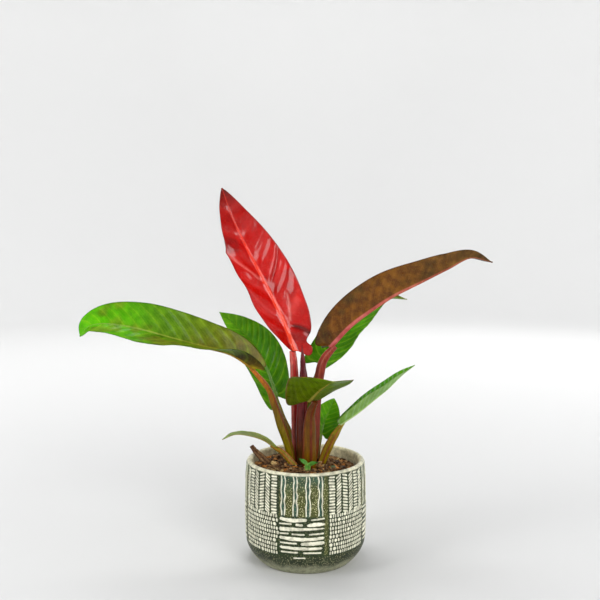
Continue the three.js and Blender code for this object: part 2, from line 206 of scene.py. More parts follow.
def run(values: list[float], t: Array) -> Array:
    """Read a smooth run through evenly spaced numbers at places from 0 to 1.

    Args:
        values: The evenly spaced numbers.
        t: Places to read.

    Returns:
        A number for each place.
    """
    knots = np.asarray(values, float)
    last = len(knots) - 1
    place = np.clip(np.asarray(t, float), 0.0, 1.0) * last
    i = np.minimum(np.floor(place).astype(int), last - 1)
    w = ease(place - i)
    return knots[i] + (knots[i + 1] - knots[i]) * w


def colour_run(stops: Run, t: Array) -> Array:
    """Read a run of colours at places from 0 to 1.

    Args:
        stops: Pairs of place and colour, in rising order.
        t: Places to read.

    Returns:
        A colour for each place.
    """
    places = [stop[0] for stop in stops]
    parts = [np.interp(t, places, [stop[1][k] for stop in stops]) for k in range(3)]
    return np.stack(parts, axis=-1)


def scramble(cells: Array, seed: int) -> Array:
    """Make a repeatable number for each whole-numbered cell.

    Args:
        cells: Cells, three whole numbers each.
        seed: Picks one of many sets of numbers.

    Returns:
        A number from -1 to 1 for each cell.
    """
    mask = np.int64(HASH_MASK)
    mixed = np.full(cells.shape[:-1], seed * SEED_FACTOR % (HASH_MASK + 1), dtype=np.int64)
    for axis, prime in enumerate(HASH_PRIMES):
        mixed ^= (cells[..., axis].astype(np.int64) * prime) & mask
        mixed = (mixed * HASH_FACTOR + HASH_STEP) & mask
        mixed ^= mixed >> 15
    mixed = (mixed * HASH_FACTOR + HASH_STEP) & mask
    mixed ^= mixed >> 13
    return mixed / HASH_HALF - 1.0


def noise(points: Array, cell: float, seed: int = 0, octaves: int = 1) -> Array:
    """Smooth repeatable noise over space.

    Args:
        points: Points, three numbers each.
        cell: Size of the largest lump, in the points' own unit.
        seed: Picks one of many noises.
        octaves: How many finer layers are added.

    Returns:
        A number for each point, about -1 to 1.
    """
    total = np.zeros(points.shape[:-1])
    weight = 1.0
    whole = 0.0
    for octave in range(octaves):
        scaled = points * (2.0**octave / cell) + OCTAVE_SHIFT * octave
        low = np.floor(scaled)
        part = ease(scaled - low)
        low = low.astype(np.int64)
        value = np.zeros(points.shape[:-1])
        for corner in range(8):
            offset = np.array([corner & 1, corner >> 1 & 1, corner >> 2 & 1])
            share = np.prod(np.where(offset, part, 1.0 - part), axis=-1)
            value += share * scramble(low + offset, seed + octave)
        total += weight * value
        whole += weight
        weight *= 0.5
    return total / whole


def toward(colour: Array, other: Array | Colour, share: Array) -> Array:
    """Move colours towards another by a share of the way."""
    return colour + (np.asarray(other) - colour) * np.clip(share, 0, 1)[..., None]


def side_points(radius: Array | float, angle: Array, height: Array | float) -> Array:
    """Place points round the pot's axis.

    Args:
        radius: Their distance from the axis.
        angle: Their angle, counted from the right.
        height: Their height.

    Returns:
        The points, three numbers each.
    """
    x = radius * np.cos(angle)
    return np.stack([x, radius * np.sin(angle), np.broadcast_to(height, x.shape)], axis=-1)


def front_points(radius: Array | float, angle: Array, height: Array | float) -> Array:
    """Place points round the pot's axis, at angles counted from the front."""
    return side_points(radius, angle - TURN / 4, height)


def round_rings(centre: Array, thick: Array, sides: int) -> Array:
    """Make rings of points round a line, for a root or a fibre.

    Args:
        centre: Points of the line.
        thick: Radius at each of them.
        sides: Number of points in a ring.

    Returns:
        The points, shaped ring by place round the ring by three.
    """
    around = np.linspace(0, TURN, sides, endpoint=False)[None, :, None]
    direction = unit(np.gradient(centre, axis=0))
    aside = unit(np.cross(direction, [0.0, 0.0, 1.0]))
    up = np.cross(aside, direction)
    circle = np.cos(around) * aside[:, None] + np.sin(around) * up[:, None]
    return centre[:, None] + thick[:, None, None] * circle


@dataclass
class Surface:
    """Points, faces and named values gathered for one mesh, in millimetres."""

    points: list[Array] = field(default_factory=list)
    quads: list[Array] = field(default_factory=list)
    triangles: list[Array] = field(default_factory=list)
    values: dict[str, list[Array]] = field(default_factory=dict)
    count: int = 0

    def add(self, points: Array, quads: Array, triangles: Array | None = None,
            **values: Array | float) -> None:
        """Add one patch.

        Args:
            points: Its points, one row each.
            quads: Four-sided faces, as rows of point numbers.
            triangles: Three-sided faces, or None.
            **values: A number or colour for each point, or one for the whole patch.
        """
        size = len(points)
        self.points.append(points)
        self.quads.append(quads.reshape(-1, 4) + self.count)
        if triangles is not None:
            self.triangles.append(triangles.reshape(-1, 3) + self.count)
        for name, value in values.items():
            whole = np.asarray(value, float)
            if whole.ndim == 0 or (whole.ndim == 1 and len(whole) != size):
                whole = np.broadcast_to(whole, (size,) + whole.shape)
            self.values.setdefault(name, []).append(whole)
        self.count += size

    def fit(self, low: Point, high: Point) -> None:
        """Stretch everything so that its box is exactly the given one.

        Args:
            low: Lowest corner of the box, in metres.
            high: Highest corner of the box.
        """
        everything = np.concatenate(self.points)
        own_low = everything.min(0)
        own_size = np.maximum(everything.max(0) - own_low, 1e-9)
        target_low = np.asarray(low, float) / MM
        target_size = np.asarray(high, float) / MM - target_low
        self.points = [target_low + (part - own_low) * target_size / own_size for part in self.points]

    def build(self, name: str) -> Piece:
        """Make the mesh object, with smooth faces.

        Args:
            name: Name of the piece.

        Returns:
            The new object, linked to the scene.
        """
        points = np.concatenate(self.points) * MM
        quads = np.concatenate(self.quads).astype(np.int32)
        triangles = np.concatenate(self.triangles or [np.zeros((0, 3))]).astype(np.int32)
        mesh = bpy.data.meshes.new(name)
        corners = np.concatenate([quads.ravel(), triangles.ravel()])
        totals = np.concatenate([np.full(len(quads), 4), np.full(len(triangles), 3)]).astype(np.int32)
        starts = np.concatenate([[0], np.cumsum(totals)[:-1]]).astype(np.int32)
        mesh.vertices.add(len(points))
        mesh.vertices.foreach_set("co", points.astype(np.float32).ravel())
        mesh.loops.add(len(corners))
        mesh.loops.foreach_set("vertex_index", corners.astype(np.int32))
        mesh.polygons.add(len(totals))
        mesh.polygons.foreach_set("loop_start", starts)
        mesh.polygons.foreach_set("loop_total", totals)
        mesh.update(calc_edges=True)
        mesh.validate()
        mesh.polygons.foreach_set("use_smooth", np.ones(len(mesh.polygons), dtype=bool))
        for key, parts in self.values.items():
            whole = np.concatenate(parts).astype(np.float32)
            if whole.ndim == 2:
                rgba = np.concatenate([whole, np.ones((len(whole), 1), np.float32)], axis=1)
                layer = mesh.attributes.new(key, "FLOAT_COLOR", "POINT")
                layer.data.foreach_set("color", rgba.ravel())
            else:
                layer = mesh.attributes.new(key, "FLOAT", "POINT")
                layer.data.foreach_set("value", whole)
        piece = bpy.data.objects.new(name, mesh)
        bpy.context.scene.collection.objects.link(piece)
        return piece


def grid_faces(rows: int, columns: int, wrap: bool = False, flip: bool = False) -> Array:
    """Quads of a grid of points.

    Args:
        rows: Number of rows of points.
        columns: Number of points in a row.
        wrap: Whether each row closes on itself.
        flip: Whether the faces look the other way.

    Returns:
        The faces as rows of four point numbers.
    """
    i = np.arange(rows - 1)[:, None]
    j = np.arange(columns if wrap else columns - 1)[None, :]
    k = (j + 1) % columns
    row = i * columns
    above = row + columns
    faces = np.stack([row + j, row + k, above + k, above + j], axis=-1).reshape(-1, 4)
    return faces[:, ::-1] if flip else faces


def add_tube(surface: Surface, rings: Array, **values: Array | float) -> None:
    """Add a closed tube made of rings of points, capped at both ends.

    Args:
        surface: The mesh that it is added to.
        rings: Points, shaped ring by place round the ring by three.
        **values: Values for each ring point, shaped as the rings, or one for all.
    """
    rows, columns, _ = rings.shape
    ends = np.stack([rings[0].mean(0), rings[-1].mean(0)])
    points = np.concatenate([rings.reshape(-1, 3), ends])
    around = np.arange(columns)
    beside = (around + 1) % columns
    foot = np.full(columns, rows * columns)
    last = (rows - 1) * columns
    bottom = np.stack([around, foot, beside], axis=-1)
    top = np.stack([last + around, last + beside, foot + 1], axis=-1)
    spread = {}
    for name, value in values.items():
        whole = np.asarray(value, float)
        if whole.ndim >= 2 and whole.shape[:2] == (rows, columns):
            flat = whole.reshape((rows * columns,) + whole.shape[2:])
            whole = np.concatenate([flat, whole[0].mean(0)[None], whole[-1].mean(0)[None]])
        spread[name] = whole
    surface.add(points, grid_faces(rows, columns, wrap=True), np.concatenate([bottom, top]), **spread)


def add_shell(surface: Surface, top: Array, bottom: Array, flip: bool = False,
              **values: Array | float) -> None:
    """Add a thin solid made of two grids of points, back to back.

    Args:
        surface: The mesh that it is added to.
        top: Points of one side, shaped row by column by three.
        bottom: Points of the other side.
        flip: Whether the faces look the other way.
        **values: Values for the points of the top and then the bottom, or one for all.
    """
    rows, columns, _ = top.shape
    count = rows * columns
    rim = np.concatenate([
        np.arange(columns),
        np.arange(1, rows) * columns + columns - 1,
        np.arange(columns - 2, -1, -1) + (rows - 1) * columns,
        np.arange(rows - 2, 0, -1) * columns,
    ])
    ahead = np.roll(rim, -1)
    wall = np.stack([rim + count, ahead + count, ahead, rim], axis=-1)
    under = grid_faces(rows, columns, flip=True) + count
    faces = np.concatenate([grid_faces(rows, columns), under, wall])
    points = np.concatenate([top.reshape(-1, 3), bottom.reshape(-1, 3)])
    surface.add(points, faces[:, ::-1] if flip else faces, **values)


def dress(piece: Piece, material: Material, slot: Slot,
          nodes: list[str]) -> None:
    """Give a piece its material and body, hide the frame nodes that it stands for and log its slot.

    Args:
        piece: The piece.
        material: Its material.
        slot: The record's slot of its finish.
        nodes: Names of the frame's nodes that it replaces.
    """
    piece.data.materials.append(material)
    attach(piece, BODY)
    if nodes:
        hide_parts(*nodes)
    LOG.info("%s: %d faces, slot %s", piece.name, len(piece.data.polygons), slot.value)


# ---- Materials ----


GRAIN_ROUGHNESS = 0.55  # strength of the finer layers of a material's grain


class Shading:
    """A material under construction: a principled shader and the nodes that feed it."""

    def __init__(self, name: str) -> None:
        """Start a material with a bare principled shader.

        Args:
            name: Name of the material.
        """
        self.material = bpy.data.materials.new(name)
        self.material.use_nodes = True
        self.tree = self.material.node_tree
        self.tree.nodes.clear()
        output = self.node("OutputMaterial")
        self.shader = self.node("BsdfPrincipled")
        self.tree.links.new(self.shader.outputs["BSDF"], output.inputs["Surface"])
        coordinates = self.node("TexCoord")
        self.place = coordinates.outputs["Object"]

    def node(self, kind: str) -> bpy.types.Node:
        """Add a shader node of a kind."""
        return self.tree.nodes.new("ShaderNode" + kind)

    def feed(self, socket: Socket, value: Feed) -> None:
        """Set an input from a number, a colour or another node's output.

        Args:
            socket: The input.
            value: What it is set to, or the output that is linked to it.
        """
        if isinstance(value, bpy.types.NodeSocket):
            self.tree.links.new(value, socket)
        elif isinstance(value, tuple) and socket.type == "RGBA":
            socket.default_value = (*value, 1.0)
        else:
            socket.default_value = value

    def set(self, **inputs: Feed) -> None:
        """Set the principled shader's inputs.

        Args:
            **inputs: Values by the inputs' names, with underscores for spaces.
        """
        for name, value in inputs.items():
            self.feed(self.shader.inputs[name.replace("_", " ")], value)

    def stored(self, name: str) -> bpy.types.Node:
        """Read a value that is stored on the mesh.

        Args:
            name: Name of the value.

        Returns:
            The node that reads it.
        """
        node = self.node("Attribute")
        node.attribute_name = name
        return node

    def number(self, name: str) -> Socket:
        """Read a number that is stored on the mesh."""
        return self.stored(name).outputs["Fac"]

    def tint(self) -> Socket:
        """Read the colour that is painted on the mesh."""
        return self.stored("tint").outputs["Color"]

    def grain(self, size: float, detail: float, stretch: Point = (1.0, 1.0, 1.0)) -> Socket:
        """Noise over the object.

        Args:
            size: Size of a lump in millimetres.
            detail: Number of finer layers.
            stretch: How much longer the lumps are along each axis.

        Returns:
            A value around a half.
        """
        mapping = self.node("Mapping")
        mapping.inputs["Scale"].default_value = tuple(1.0 / (size * MM * s) for s in stretch)
        self.tree.links.new(self.place, mapping.inputs["Vector"])
        node = self.node("TexNoise")
        node.inputs["Scale"].default_value = 1.0
        node.inputs["Detail"].default_value = detail
        node.inputs["Roughness"].default_value = GRAIN_ROUGHNESS
        self.tree.links.new(mapping.outputs["Vector"], node.inputs["Vector"])
        return node.outputs["Fac"]

    def spots(self, size: float) -> Socket:
        """Measure the distance to the nearest of many scattered spots.

        Args:
            size: Size of a spot's cell in millimetres.

        Returns:
            The distance, in cell sizes.
        """
        node = self.node("TexVoronoi")
        node.inputs["Scale"].default_value = 1.0 / (size * MM)
        self.tree.links.new(self.place, node.inputs["Vector"])
        return node.outputs["Distance"]

    def sum(self, operation: str, first: Feed, second: Feed = 0.0, clamp: bool = False) -> Socket:
        """Work out one sum.

        Args:
            operation: The maths node's own name for it.
            first: The first number.
            second: The second number.
            clamp: Whether the result is held between 0 and 1.

        Returns:
            The result.
        """
        node = self.node("Math")
        node.operation = operation
        node.use_clamp = clamp
        self.feed(node.inputs[0], first)
        self.feed(node.inputs[1], second)
        return node.outputs[0]

    def stretch(self, value: Feed, low: float, high: float, to_low: float = 0.0,
                to_high: float = 1.0) -> Socket:
        """Map a value smoothly from one range to another and hold it there.

        Args:
            value: The value.
            low: Where its range starts.
            high: Where its range ends.
            to_low: The result at the start.
            to_high: The result at the end.

        Returns:
            The mapped value.
        """
        node = self.node("MapRange")
        node.interpolation_type = "SMOOTHSTEP"
        self.feed(node.inputs["Value"], value)
        ends = {"From Min": low, "From Max": high, "To Min": to_low, "To Max": to_high}
        for name, number in ends.items():
            node.inputs[name].default_value = number
        return node.outputs["Result"]

    def blend(self, share: Feed, first: Feed, second: Feed, mode: str = "MIX") -> Socket:
        """Mix two colours.

        Args:
            share: Share of the second, 0 to 1.
            first: The first colour.
            second: The second colour.
            mode: The mix node's own name for the way they mix.

        Returns:
            The mixed colour.
        """
        node = self.node("Mix")
        node.data_type = "RGBA"
        node.blend_type = mode
        self.feed(node.inputs[0], share)
        self.feed(node.inputs[6], first)
        self.feed(node.inputs[7], second)
        return node.outputs[2]

    def relief(self, height: Feed, depth: float) -> None:
        """Drive the shader's normal from a height.

        Args:
            height: The height, as a share of the depth.
            depth: The depth in millimetres.
        """
        node = self.node("Bump")
        node.inputs["Strength"].default_value = 1.0
        node.inputs["Distance"].default_value = depth * MM
        self.feed(node.inputs["Height"], height)
        self.tree.links.new(node.outputs["Normal"], self.shader.inputs["Normal"])


@dataclass(frozen=True)
class LeafFinish:
    """Gloss and fine marking of a blade; its colours are painted on the mesh."""

    name: str
    roughness: float = 0.32
    coat: float = 0.35
    coat_roughness: float = 0.14
    specular: float = 0.25
    mottle: float = 0.35
    vein_depth: float = 0.12
    fine_lines: float = 0.2

    def material(self) -> Material:
        """Make the blade's material.

        Returns:
            The material.
        """
        shading = Shading(self.name)
        tint = shading.tint()
        phase = shading.number("phase")
        fine = shading.sum("ABSOLUTE", shading.sum("SINE", shading.sum("MULTIPLY", phase, 4.0 * math.pi)))
        line = shading.sum("POWER", shading.sum("SUBTRACT", 1.0, fine), 3.0)
        cells = shading.grain(1.2, 4.0)
        patches = shading.grain(9.0, 3.0)
        dark = shading.blend(self.mottle, tint, tint, "MULTIPLY")
        light = shading.blend(self.mottle * 0.3, tint, paint(220, 220, 70), "SCREEN")
        colour = shading.blend(shading.stretch(patches, 0.35, 0.7), dark, tint)
        colour = shading.blend(shading.sum("MULTIPLY", shading.stretch(cells, 0.5, 0.8), 0.3), colour, light)
        colour = shading.blend(shading.sum("MULTIPLY", line, self.fine_lines), colour, light)
        height = shading.sum("MULTIPLY", line, -4.0 * self.fine_lines)
        height = shading.sum("ADD", height, shading.sum("MULTIPLY", cells, 0.35))
        shading.relief(height, self.vein_depth)
        rough = shading.stretch(patches, 0.3, 0.7, self.roughness * 0.8, self.roughness * 1.35)
        shading.set(Base_Color=colour, Roughness=rough, Specular_IOR_Level=self.specular,
                    Coat_Weight=self.coat, Coat_Roughness=self.coat_roughness)
        return shading.material


@dataclass(frozen=True)
class StalkFinish:
    """Streaked, waxy skin of a stalk; its colours are painted on the mesh."""

    name: str
    roughness: float = 0.36
    coat: float = 0.25
    streak: float = 0.4

    def material(self) -> Material:
        """Make the stalk's material.

        Returns:
            The material.
        """
        shading = Shading(self.name)
        tint = shading.tint()
        streaks = shading.grain(1.0, 3.0, (1.0, 1.0, 14.0))
        flecks = shading.grain(0.7, 2.0, (1.0, 1.0, 2.5))
        dark = shading.blend(self.streak, tint, paint(40, 20, 10), "MULTIPLY")
        light = shading.blend(self.streak * 0.3, tint, paint(230, 180, 80), "SCREEN")
        colour = shading.blend(shading.stretch(streaks, 0.35, 0.65), dark, tint)
        shown = shading.sum("MULTIPLY", shading.stretch(flecks, 0.58, 0.72), 0.6)
        colour = shading.blend(shown, colour, light)
        shading.relief(shading.sum("ADD", streaks, shading.sum("MULTIPLY", flecks, 0.3)), 0.22)
        rough = shading.stretch(streaks, 0.3, 0.7, self.roughness * 0.8, self.roughness * 1.3)
        shading.set(Base_Color=colour, Roughness=rough, Specular_IOR_Level=0.08, Coat_Weight=self.coat,
                    Coat_Roughness=0.2)
        return shading.material


@dataclass(frozen=True)
class ClayFinish:
    """Glazed stoneware: painted zones with specks of two sizes and fine pitting."""

    name: str
    roughness: float = 0.5
    dark_speck: Colour = paint(45, 42, 30)
    light_speck: Colour = paint(205, 200, 150)
    speck_size: float = 1.5
    coat: float = 0.12

    def material(self) -> Material:
        """Make the clay's material.

        Returns:
            The material.
        """
        shading = Shading(self.name)
        tint = shading.tint()
        cloud = shading.grain(5.0, 4.0)
        grit = shading.grain(0.8, 3.0)
        spots = shading.spots(self.speck_size)
        fine = shading.spots(self.speck_size * 0.45)
        dull = shading.blend(0.5, tint, paint(110, 110, 95), "MULTIPLY")
        colour = shading.blend(shading.stretch(cloud, 0.3, 0.65), dull, tint)
        light_dots = shading.stretch(spots, 0.34, 0.22)
        light = shading.sum("MULTIPLY", light_dots, shading.number("light_specks"), True)
        dark_dots = shading.stretch(fine, 0.33, 0.2)
        dark = shading.sum("MULTIPLY", dark_dots, shading.number("dark_specks"), True)
        colour = shading.blend(light, colour, self.light_speck)
        colour = shading.blend(dark, colour, self.dark_speck)
        height = shading.sum("ADD", shading.sum("MULTIPLY", grit, 0.8), shading.sum("MULTIPLY", cloud, 0.5))
        shading.relief(height, 0.3)
        rough = shading.stretch(grit, 0.3, 0.7, self.roughness * 0.8, self.roughness * 1.3)
        shading.set(Base_Color=colour, Roughness=rough, Specular_IOR_Level=0.2, Coat_Weight=self.coat,
                    Coat_Roughness=0.3)
        return shading.material


@dataclass(frozen=True)
class BarkFinish:
    """Fibrous bark, coir or dried stem, tinted piece by piece."""

    name: str
    fibre: float = 0.7
    long: float = 5.0
    roughness: float = 0.85

    def material(self) -> Material:
        """Make the bark's material.

        Returns:
            The material.
        """
        shading = Shading(self.name)
        tint = shading.tint()
        fibres = shading.grain(self.fibre, 4.0, (self.long, 1.0, 1.0))
        lumps = shading.grain(3.0, 4.0)
        dark = shading.blend(0.75, tint, paint(45, 30, 22), "MULTIPLY")
        light = shading.blend(0.25, tint, paint(240, 205, 150), "SCREEN")
        colour = shading.blend(shading.stretch(fibres, 0.3, 0.6), dark, tint)
        colour = shading.blend(shading.stretch(lumps, 0.45, 0.8), colour, light)
        shading.relief(shading.sum("ADD", fibres, lumps), 0.5)
        shading.set(Base_Color=colour, Roughness=self.roughness, Specular_IOR_Level=0.2)
        return shading.material


# ---- Leaves ----

BLADE_CURL = 0.2  # how much further a half bends towards its margin, in radians
LOBE_PLACE = 0.07  # where along the blade the lobes reach furthest back
NARROWEST = 0.03  # width of the blade's two ends, as a share of the widest
STALK_FLATNESS = 0.8  # depth of a stalk as a share of its width
STALK_UNDER_BLADE = 5.0  # how far a stalk runs on under the midrib
STALK_BURIED = 4.0  # how far a stalk's foot goes into the soil
STALK_FLUTES = 9  # number of faint grooves along a stalk
RIM_AT = 1.12  # where a channel's winged edge stands, in widths of the channel
RIM_WIDTH = 0.3  # how wide that edge is
RIM_HEIGHT = 0.06  # how far it stands out, as a share of the stalk's radius
VEIN_BOW = 0.012  # how side veins bow towards the tip, per millimetre
VEIN_STRAY = 5.0  # how far a side vein strays from its line
ROW_EVENNESS = 0.45  # how evenly a blade's rows lie: 1 is even, 0 crowds them at its ends


@dataclass(frozen=True)
class Crease:
    """A fold or swelling pressed into one half of a blade, with a colour painted along it if it has one:
    painted highlight where pale, painted shade where dark.
    """

    half: Half
    start: tuple[float, float]
    end: tuple[float, float]
    bow: float
    height: float
    width: float
    tint: Colour | None = None
    strength: float = 0.7


@dataclass(frozen=True)
class Notch:
    """A place where one half's margin is drawn in, or stands out if its depth is negative."""

    half: Half
    place: float
    depth: float
    width: float


@dataclass(frozen=True)
class BladePaint:
    """Colours of a blade, from the stalk to the tip."""

    left: Run
    right: Run
    under: Run
    rib: Run
    under_rib: Run
    vein: Colour
    margin: Colour
    vein_share: float = 0.35
    margin_share: float = 0.5
    blotch: Colour | None = None
    blotch_share: float = 0.0


@dataclass(frozen=True)
class BladeShape:
    """Shape of one blade: its midrib, its face and how its halves spread, fold and ripple."""

    midrib: list[Point]
    face: list[Point]
    half: tuple[float, float]
    fold: tuple[list[float], list[float]]
    widest: float
    taper: float
    lobe: tuple[float, float]
    pleat_pitch: float = 13.0
    pleat_height: float = 0.8
    pillowed: float = 0.0
    vein_rake: float = 0.75
    wave: float = 0.8
    waves: float = 3.0
    rib_width: float = 2.3
    rib_height: float = 0.5
    under_rib: float = 1.9
    thickness: float = 0.9
    creases: tuple[Crease, ...] = ()
    notches: tuple[Notch, ...] = ()
    rows: int = 150
    columns: int = 30


@dataclass(frozen=True)
class StalkShape:
    """Shape and colours of one stalk: its route, widths, channel and winged edges."""

    route: list[Point]
    width: list[float]
    body: Run
    edge: Run
    channel_at: float = 90.0
    channel_depth: tuple[float, float] = (0.35, 0.2)
    channel_width: float = 40.0
    flutes: float = 0.02
    rows: int = 80
    columns: int = 40


@dataclass
class Stalk:
    """A leaf's stalk, grown from the crown."""

    name: str
    shape: StalkShape
    crown: float
    flatness: float = STALK_FLATNESS
    seed: int = 0

    def rings(self) -> tuple[Array, Array, Array]:
        """Make the rings of points of the stalk.

        Returns:
            The rings, the place along the stalk and how near each point is to the channel's edge.
        """
        shape = self.shape
        route = np.asarray(shape.route, float)
        back = unit(route[0] - route[1])
        route = np.vstack([route[0] + back * STALK_BURIED, route[1:]])
        t = np.linspace(0.0, 1.0, shape.rows)
        centre = curve(route, t)
        tangent = heading(route, t)
        front = np.array([0.0, -1.0, 0.0])
        normal = unit(front - (tangent @ front)[:, None] * tangent)
        across = np.cross(tangent, normal)
        angle = np.linspace(0.0, TURN, shape.columns, endpoint=False)
        width = run(shape.width, t)[:, None] / 2
        gap = np.abs((angle - math.radians(shape.channel_at) + math.pi) % (TURN) - math.pi)
        inside = np.exp(-((gap / math.radians(shape.channel_width)) ** 4))
        rim = np.exp(-(((gap / math.radians(shape.channel_width)) - RIM_AT) / RIM_WIDTH) ** 2)
        depth = run(list(shape.channel_depth), t)[:, None]
        flutes = shape.flutes * np.cos(STALK_FLUTES * angle + self.seed)
        radius = 1.0 - depth * inside + RIM_HEIGHT * rim + flutes
        lumps = noise(np.stack([t * 9, t * 0 + self.seed, t * 0], -1), 1.0, self.seed)[:, None]
        radius = radius * (1.0 + 0.03 * lumps)
        side = radius * np.cos(angle) * width
        out = radius * np.sin(angle) * width * self.flatness
        rings = centre[:, None] + side[..., None] * across[:, None] + out[..., None] * normal[:, None]
        rings[..., 2] += self.crown
        edge = np.broadcast_to(rim, side.shape) * np.clip(depth * 4, 0, 1)
        return rings, np.broadcast_to(t[:, None], side.shape), edge

    def build(self, finish: Material, slot: Slot, node: str) -> None:
        """Build and dress the stalk.

        Args:
            finish: Its material.
            slot: Its slot in the record.
            node: The frame's node that it stands for.
        """
        rings, t, edge = self.rings()
        body = colour_run(self.shape.body, t)
        rims = colour_run(self.shape.edge, t)
        tint = toward(body, rims, edge)
        cloud = noise(rings, 7.0, self.seed + 5, 2)[..., None]
        tint = np.clip(tint * (1.0 + 0.22 * cloud), 0, 1)
        surface = Surface()
        add_tube(surface, rings, tint=tint)
        dress(surface.build(self.name), finish, slot, [node])


@dataclass
class Blade:
    """A leaf's blade: two halves spread from a midrib, pleated along the side veins."""

    name: str
    shape: BladeShape
    paint: BladePaint
    crown: float
    seed: int = 0

    def outline(self, t: Array) -> Array:
        """Find the blade's width as a share of the widest.

        Args:
            t: Places along the blade.

        Returns:
            The share at each place.
        """
        shape = self.shape
        rising = np.sqrt(np.sin(math.pi / 2 * np.clip(t / shape.widest, 0, 1)))
        falling = np.cos(math.pi / 2 * np.clip((t - shape.widest) / (1 - shape.widest), 0, 1)) ** shape.taper
        return np.maximum(np.where(t < shape.widest, rising, falling), NARROWEST)

    def dents(self, out: Array, t: Array, width: Array, length: float,
              left: Array) -> tuple[Array, list[tuple[Crease, Array]]]:
        """Heights of the creases over the blade.

        Args:
            out: Place across a half, 0 at the midrib and 1 at the margin.
            t: Place along the blade.
            width: Width of the half there, in millimetres.
            length: Length of the midrib.
            left: Where the point is in the left half.

        Returns:
            The height at each point, and each crease with its share at each point.
        """
        height = np.zeros(out.shape)
        shares = []
        widest = max(self.shape.half)
        for crease in self.shape.creases:
            half = self.shape.half[crease.half.value]
            start = np.array([crease.start[0] * half, crease.start[1] * length])
            end = np.array([crease.end[0] * half, crease.end[1] * length])
            line = end - start
            size = np.linalg.norm(line)
            direction = line / size
            from_start = np.stack([out * np.minimum(width, widest), t * length], -1) - start
            along = from_start @ direction / size
            aside = from_start @ np.array([-direction[1], direction[0]])
            bowed = aside - crease.bow * 4 * along * (1 - along)
            ends = between(-0.08, 0.12, along) * (1 - between(0.88, 1.08, along))
            share = np.exp(-((bowed / crease.width) ** 2)) * ends
            share = share * (left if crease.half is Half.LEFT else 1 - left)
            height += crease.height * share
            shares.append((crease, share))
        return height, shares

    def build(self, finish: Material, slot: Slot, node: str) -> None:
        """Build and dress the blade, stretched to its node's box.

        Args:
            finish: Its material.
            slot: Its slot in the record.
            node: The frame's node that it stands for.
        """
        shape = self.shape
        u = np.linspace(0.0, 1.0, shape.rows)
        t = ROW_EVENNESS * u + (1 - ROW_EVENNESS) * ease(u)
        v = np.linspace(-1.0, 1.0, 2 * shape.columns + 1)
        x = np.sign(v) * np.abs(v) ** 1.25
        centre = curve(shape.midrib, t)
        tangent = heading(shape.midrib, t)
        face = curve(shape.face, t)
        normal = unit(face - (face * tangent).sum(-1, keepdims=True) * tangent)
        across = np.cross(tangent, normal)
        steps = np.linalg.norm(np.diff(centre, axis=0), axis=1)
        length = float(steps.sum())
        out = np.broadcast_to(np.abs(x)[None], (len(t), len(x)))
        sign = np.broadcast_to(np.sign(x)[None], out.shape)
        left = (sign < 0).astype(float)
        place = np.broadcast_to(t[:, None], out.shape)
        halves = np.where(left > 0, shape.half[0], shape.half[1])
        width = halves * self.outline(place)
        for notch in shape.notches:
            share = np.exp(-(((place - notch.place) / notch.width) ** 2))
            width = width * (1 - notch.depth * share * (left if notch.half is Half.LEFT else 1 - left))
        lift = np.radians(np.where(left > 0, run(shape.fold[0], place), run(shape.fold[1], place)))
        bend = lift + BLADE_CURL * out
        reach = width * (np.sin(bend) - np.sin(lift)) / BLADE_CURL
        rise = width * (np.cos(lift) - np.cos(bend)) / BLADE_CURL
        lobes = np.where(left > 0, shape.lobe[0], shape.lobe[1])
        back = lobes * (place / LOBE_PLACE) * np.exp(1 - place / LOBE_PLACE) * out**1.5
        bend = np.where(out < 1e-9, 0.0, bend)
        sheet = normal[:, None] * np.cos(bend)[..., None] - across[:, None] * (sign * np.sin(bend))[..., None]

        from_rib = out * width
        run_up = place * length - shape.vein_rake * from_rib - VEIN_BOW * from_rib**2
        jitter = noise(np.stack([run_up, sign * 40 + self.seed * 7, 0 * run_up], -1), 24.0, self.seed, 2)
        phase = (run_up + VEIN_STRAY * jitter) / shape.pleat_pitch
        sharp = np.abs(np.sin(math.pi * phase)) ** 0.8
        bulge = sharp + (np.sin(math.pi * phase) ** 2 - sharp) * shape.pillowed
        pleat = np.stack([np.floor(phase), sign, 0 * phase], -1) + 0.5
        uneven = 0.75 + 0.5 * noise(pleat, 1.0, self.seed + 3)
        inner = between(0.03, 0.3, out) * (1 - 0.55 * between(0.8, 1.0, out))
        ends = between(0.0, 0.08, place) * (1 - between(0.86, 0.99, place))
        full = np.minimum(width / max(shape.half), 1.0)
        pleats = shape.pleat_height * (bulge - 0.5) * uneven * inner * ends * full
        swing = np.sin(TURN * shape.waves * place + sign * 1.3 + self.seed)
        strays = noise(np.stack([place * length, sign * 30, 0 * place], -1), 15.0, self.seed + 9)
        ripple = shape.wave * swing * out**3 * ends + 0.5 * shape.wave * strays * out**3
        dents, shares = self.dents(out, place, width, length, left)
        rib_half = shape.rib_width * (1.05 - place) + 0.35
        rib = np.exp(-((from_rib / rib_half) ** 2))
        groove = np.exp(-(((from_rib / rib_half) - 1.25) / 0.45) ** 2) * (1 - out)
        common = pleats + ripple * full + dents
        above = shape.rib_height * rib * (1 - place) - 0.25 * groove * (1 - place)
        below = shape.under_rib * np.exp(-((from_rib / (rib_half * 0.9)) ** 2)) * (1 - place) ** 0.8
        thick = shape.thickness * (1 - 0.55 * out**2) / 2
        base = centre[:, None] + (sign * reach)[..., None] * across[:, None]
        base = base + rise[..., None] * normal[:, None] - back[..., None] * tangent[:, None]
        top = base + sheet * (common + above + thick)[..., None]
        bottom = base + sheet * (common - below - thick)[..., None]

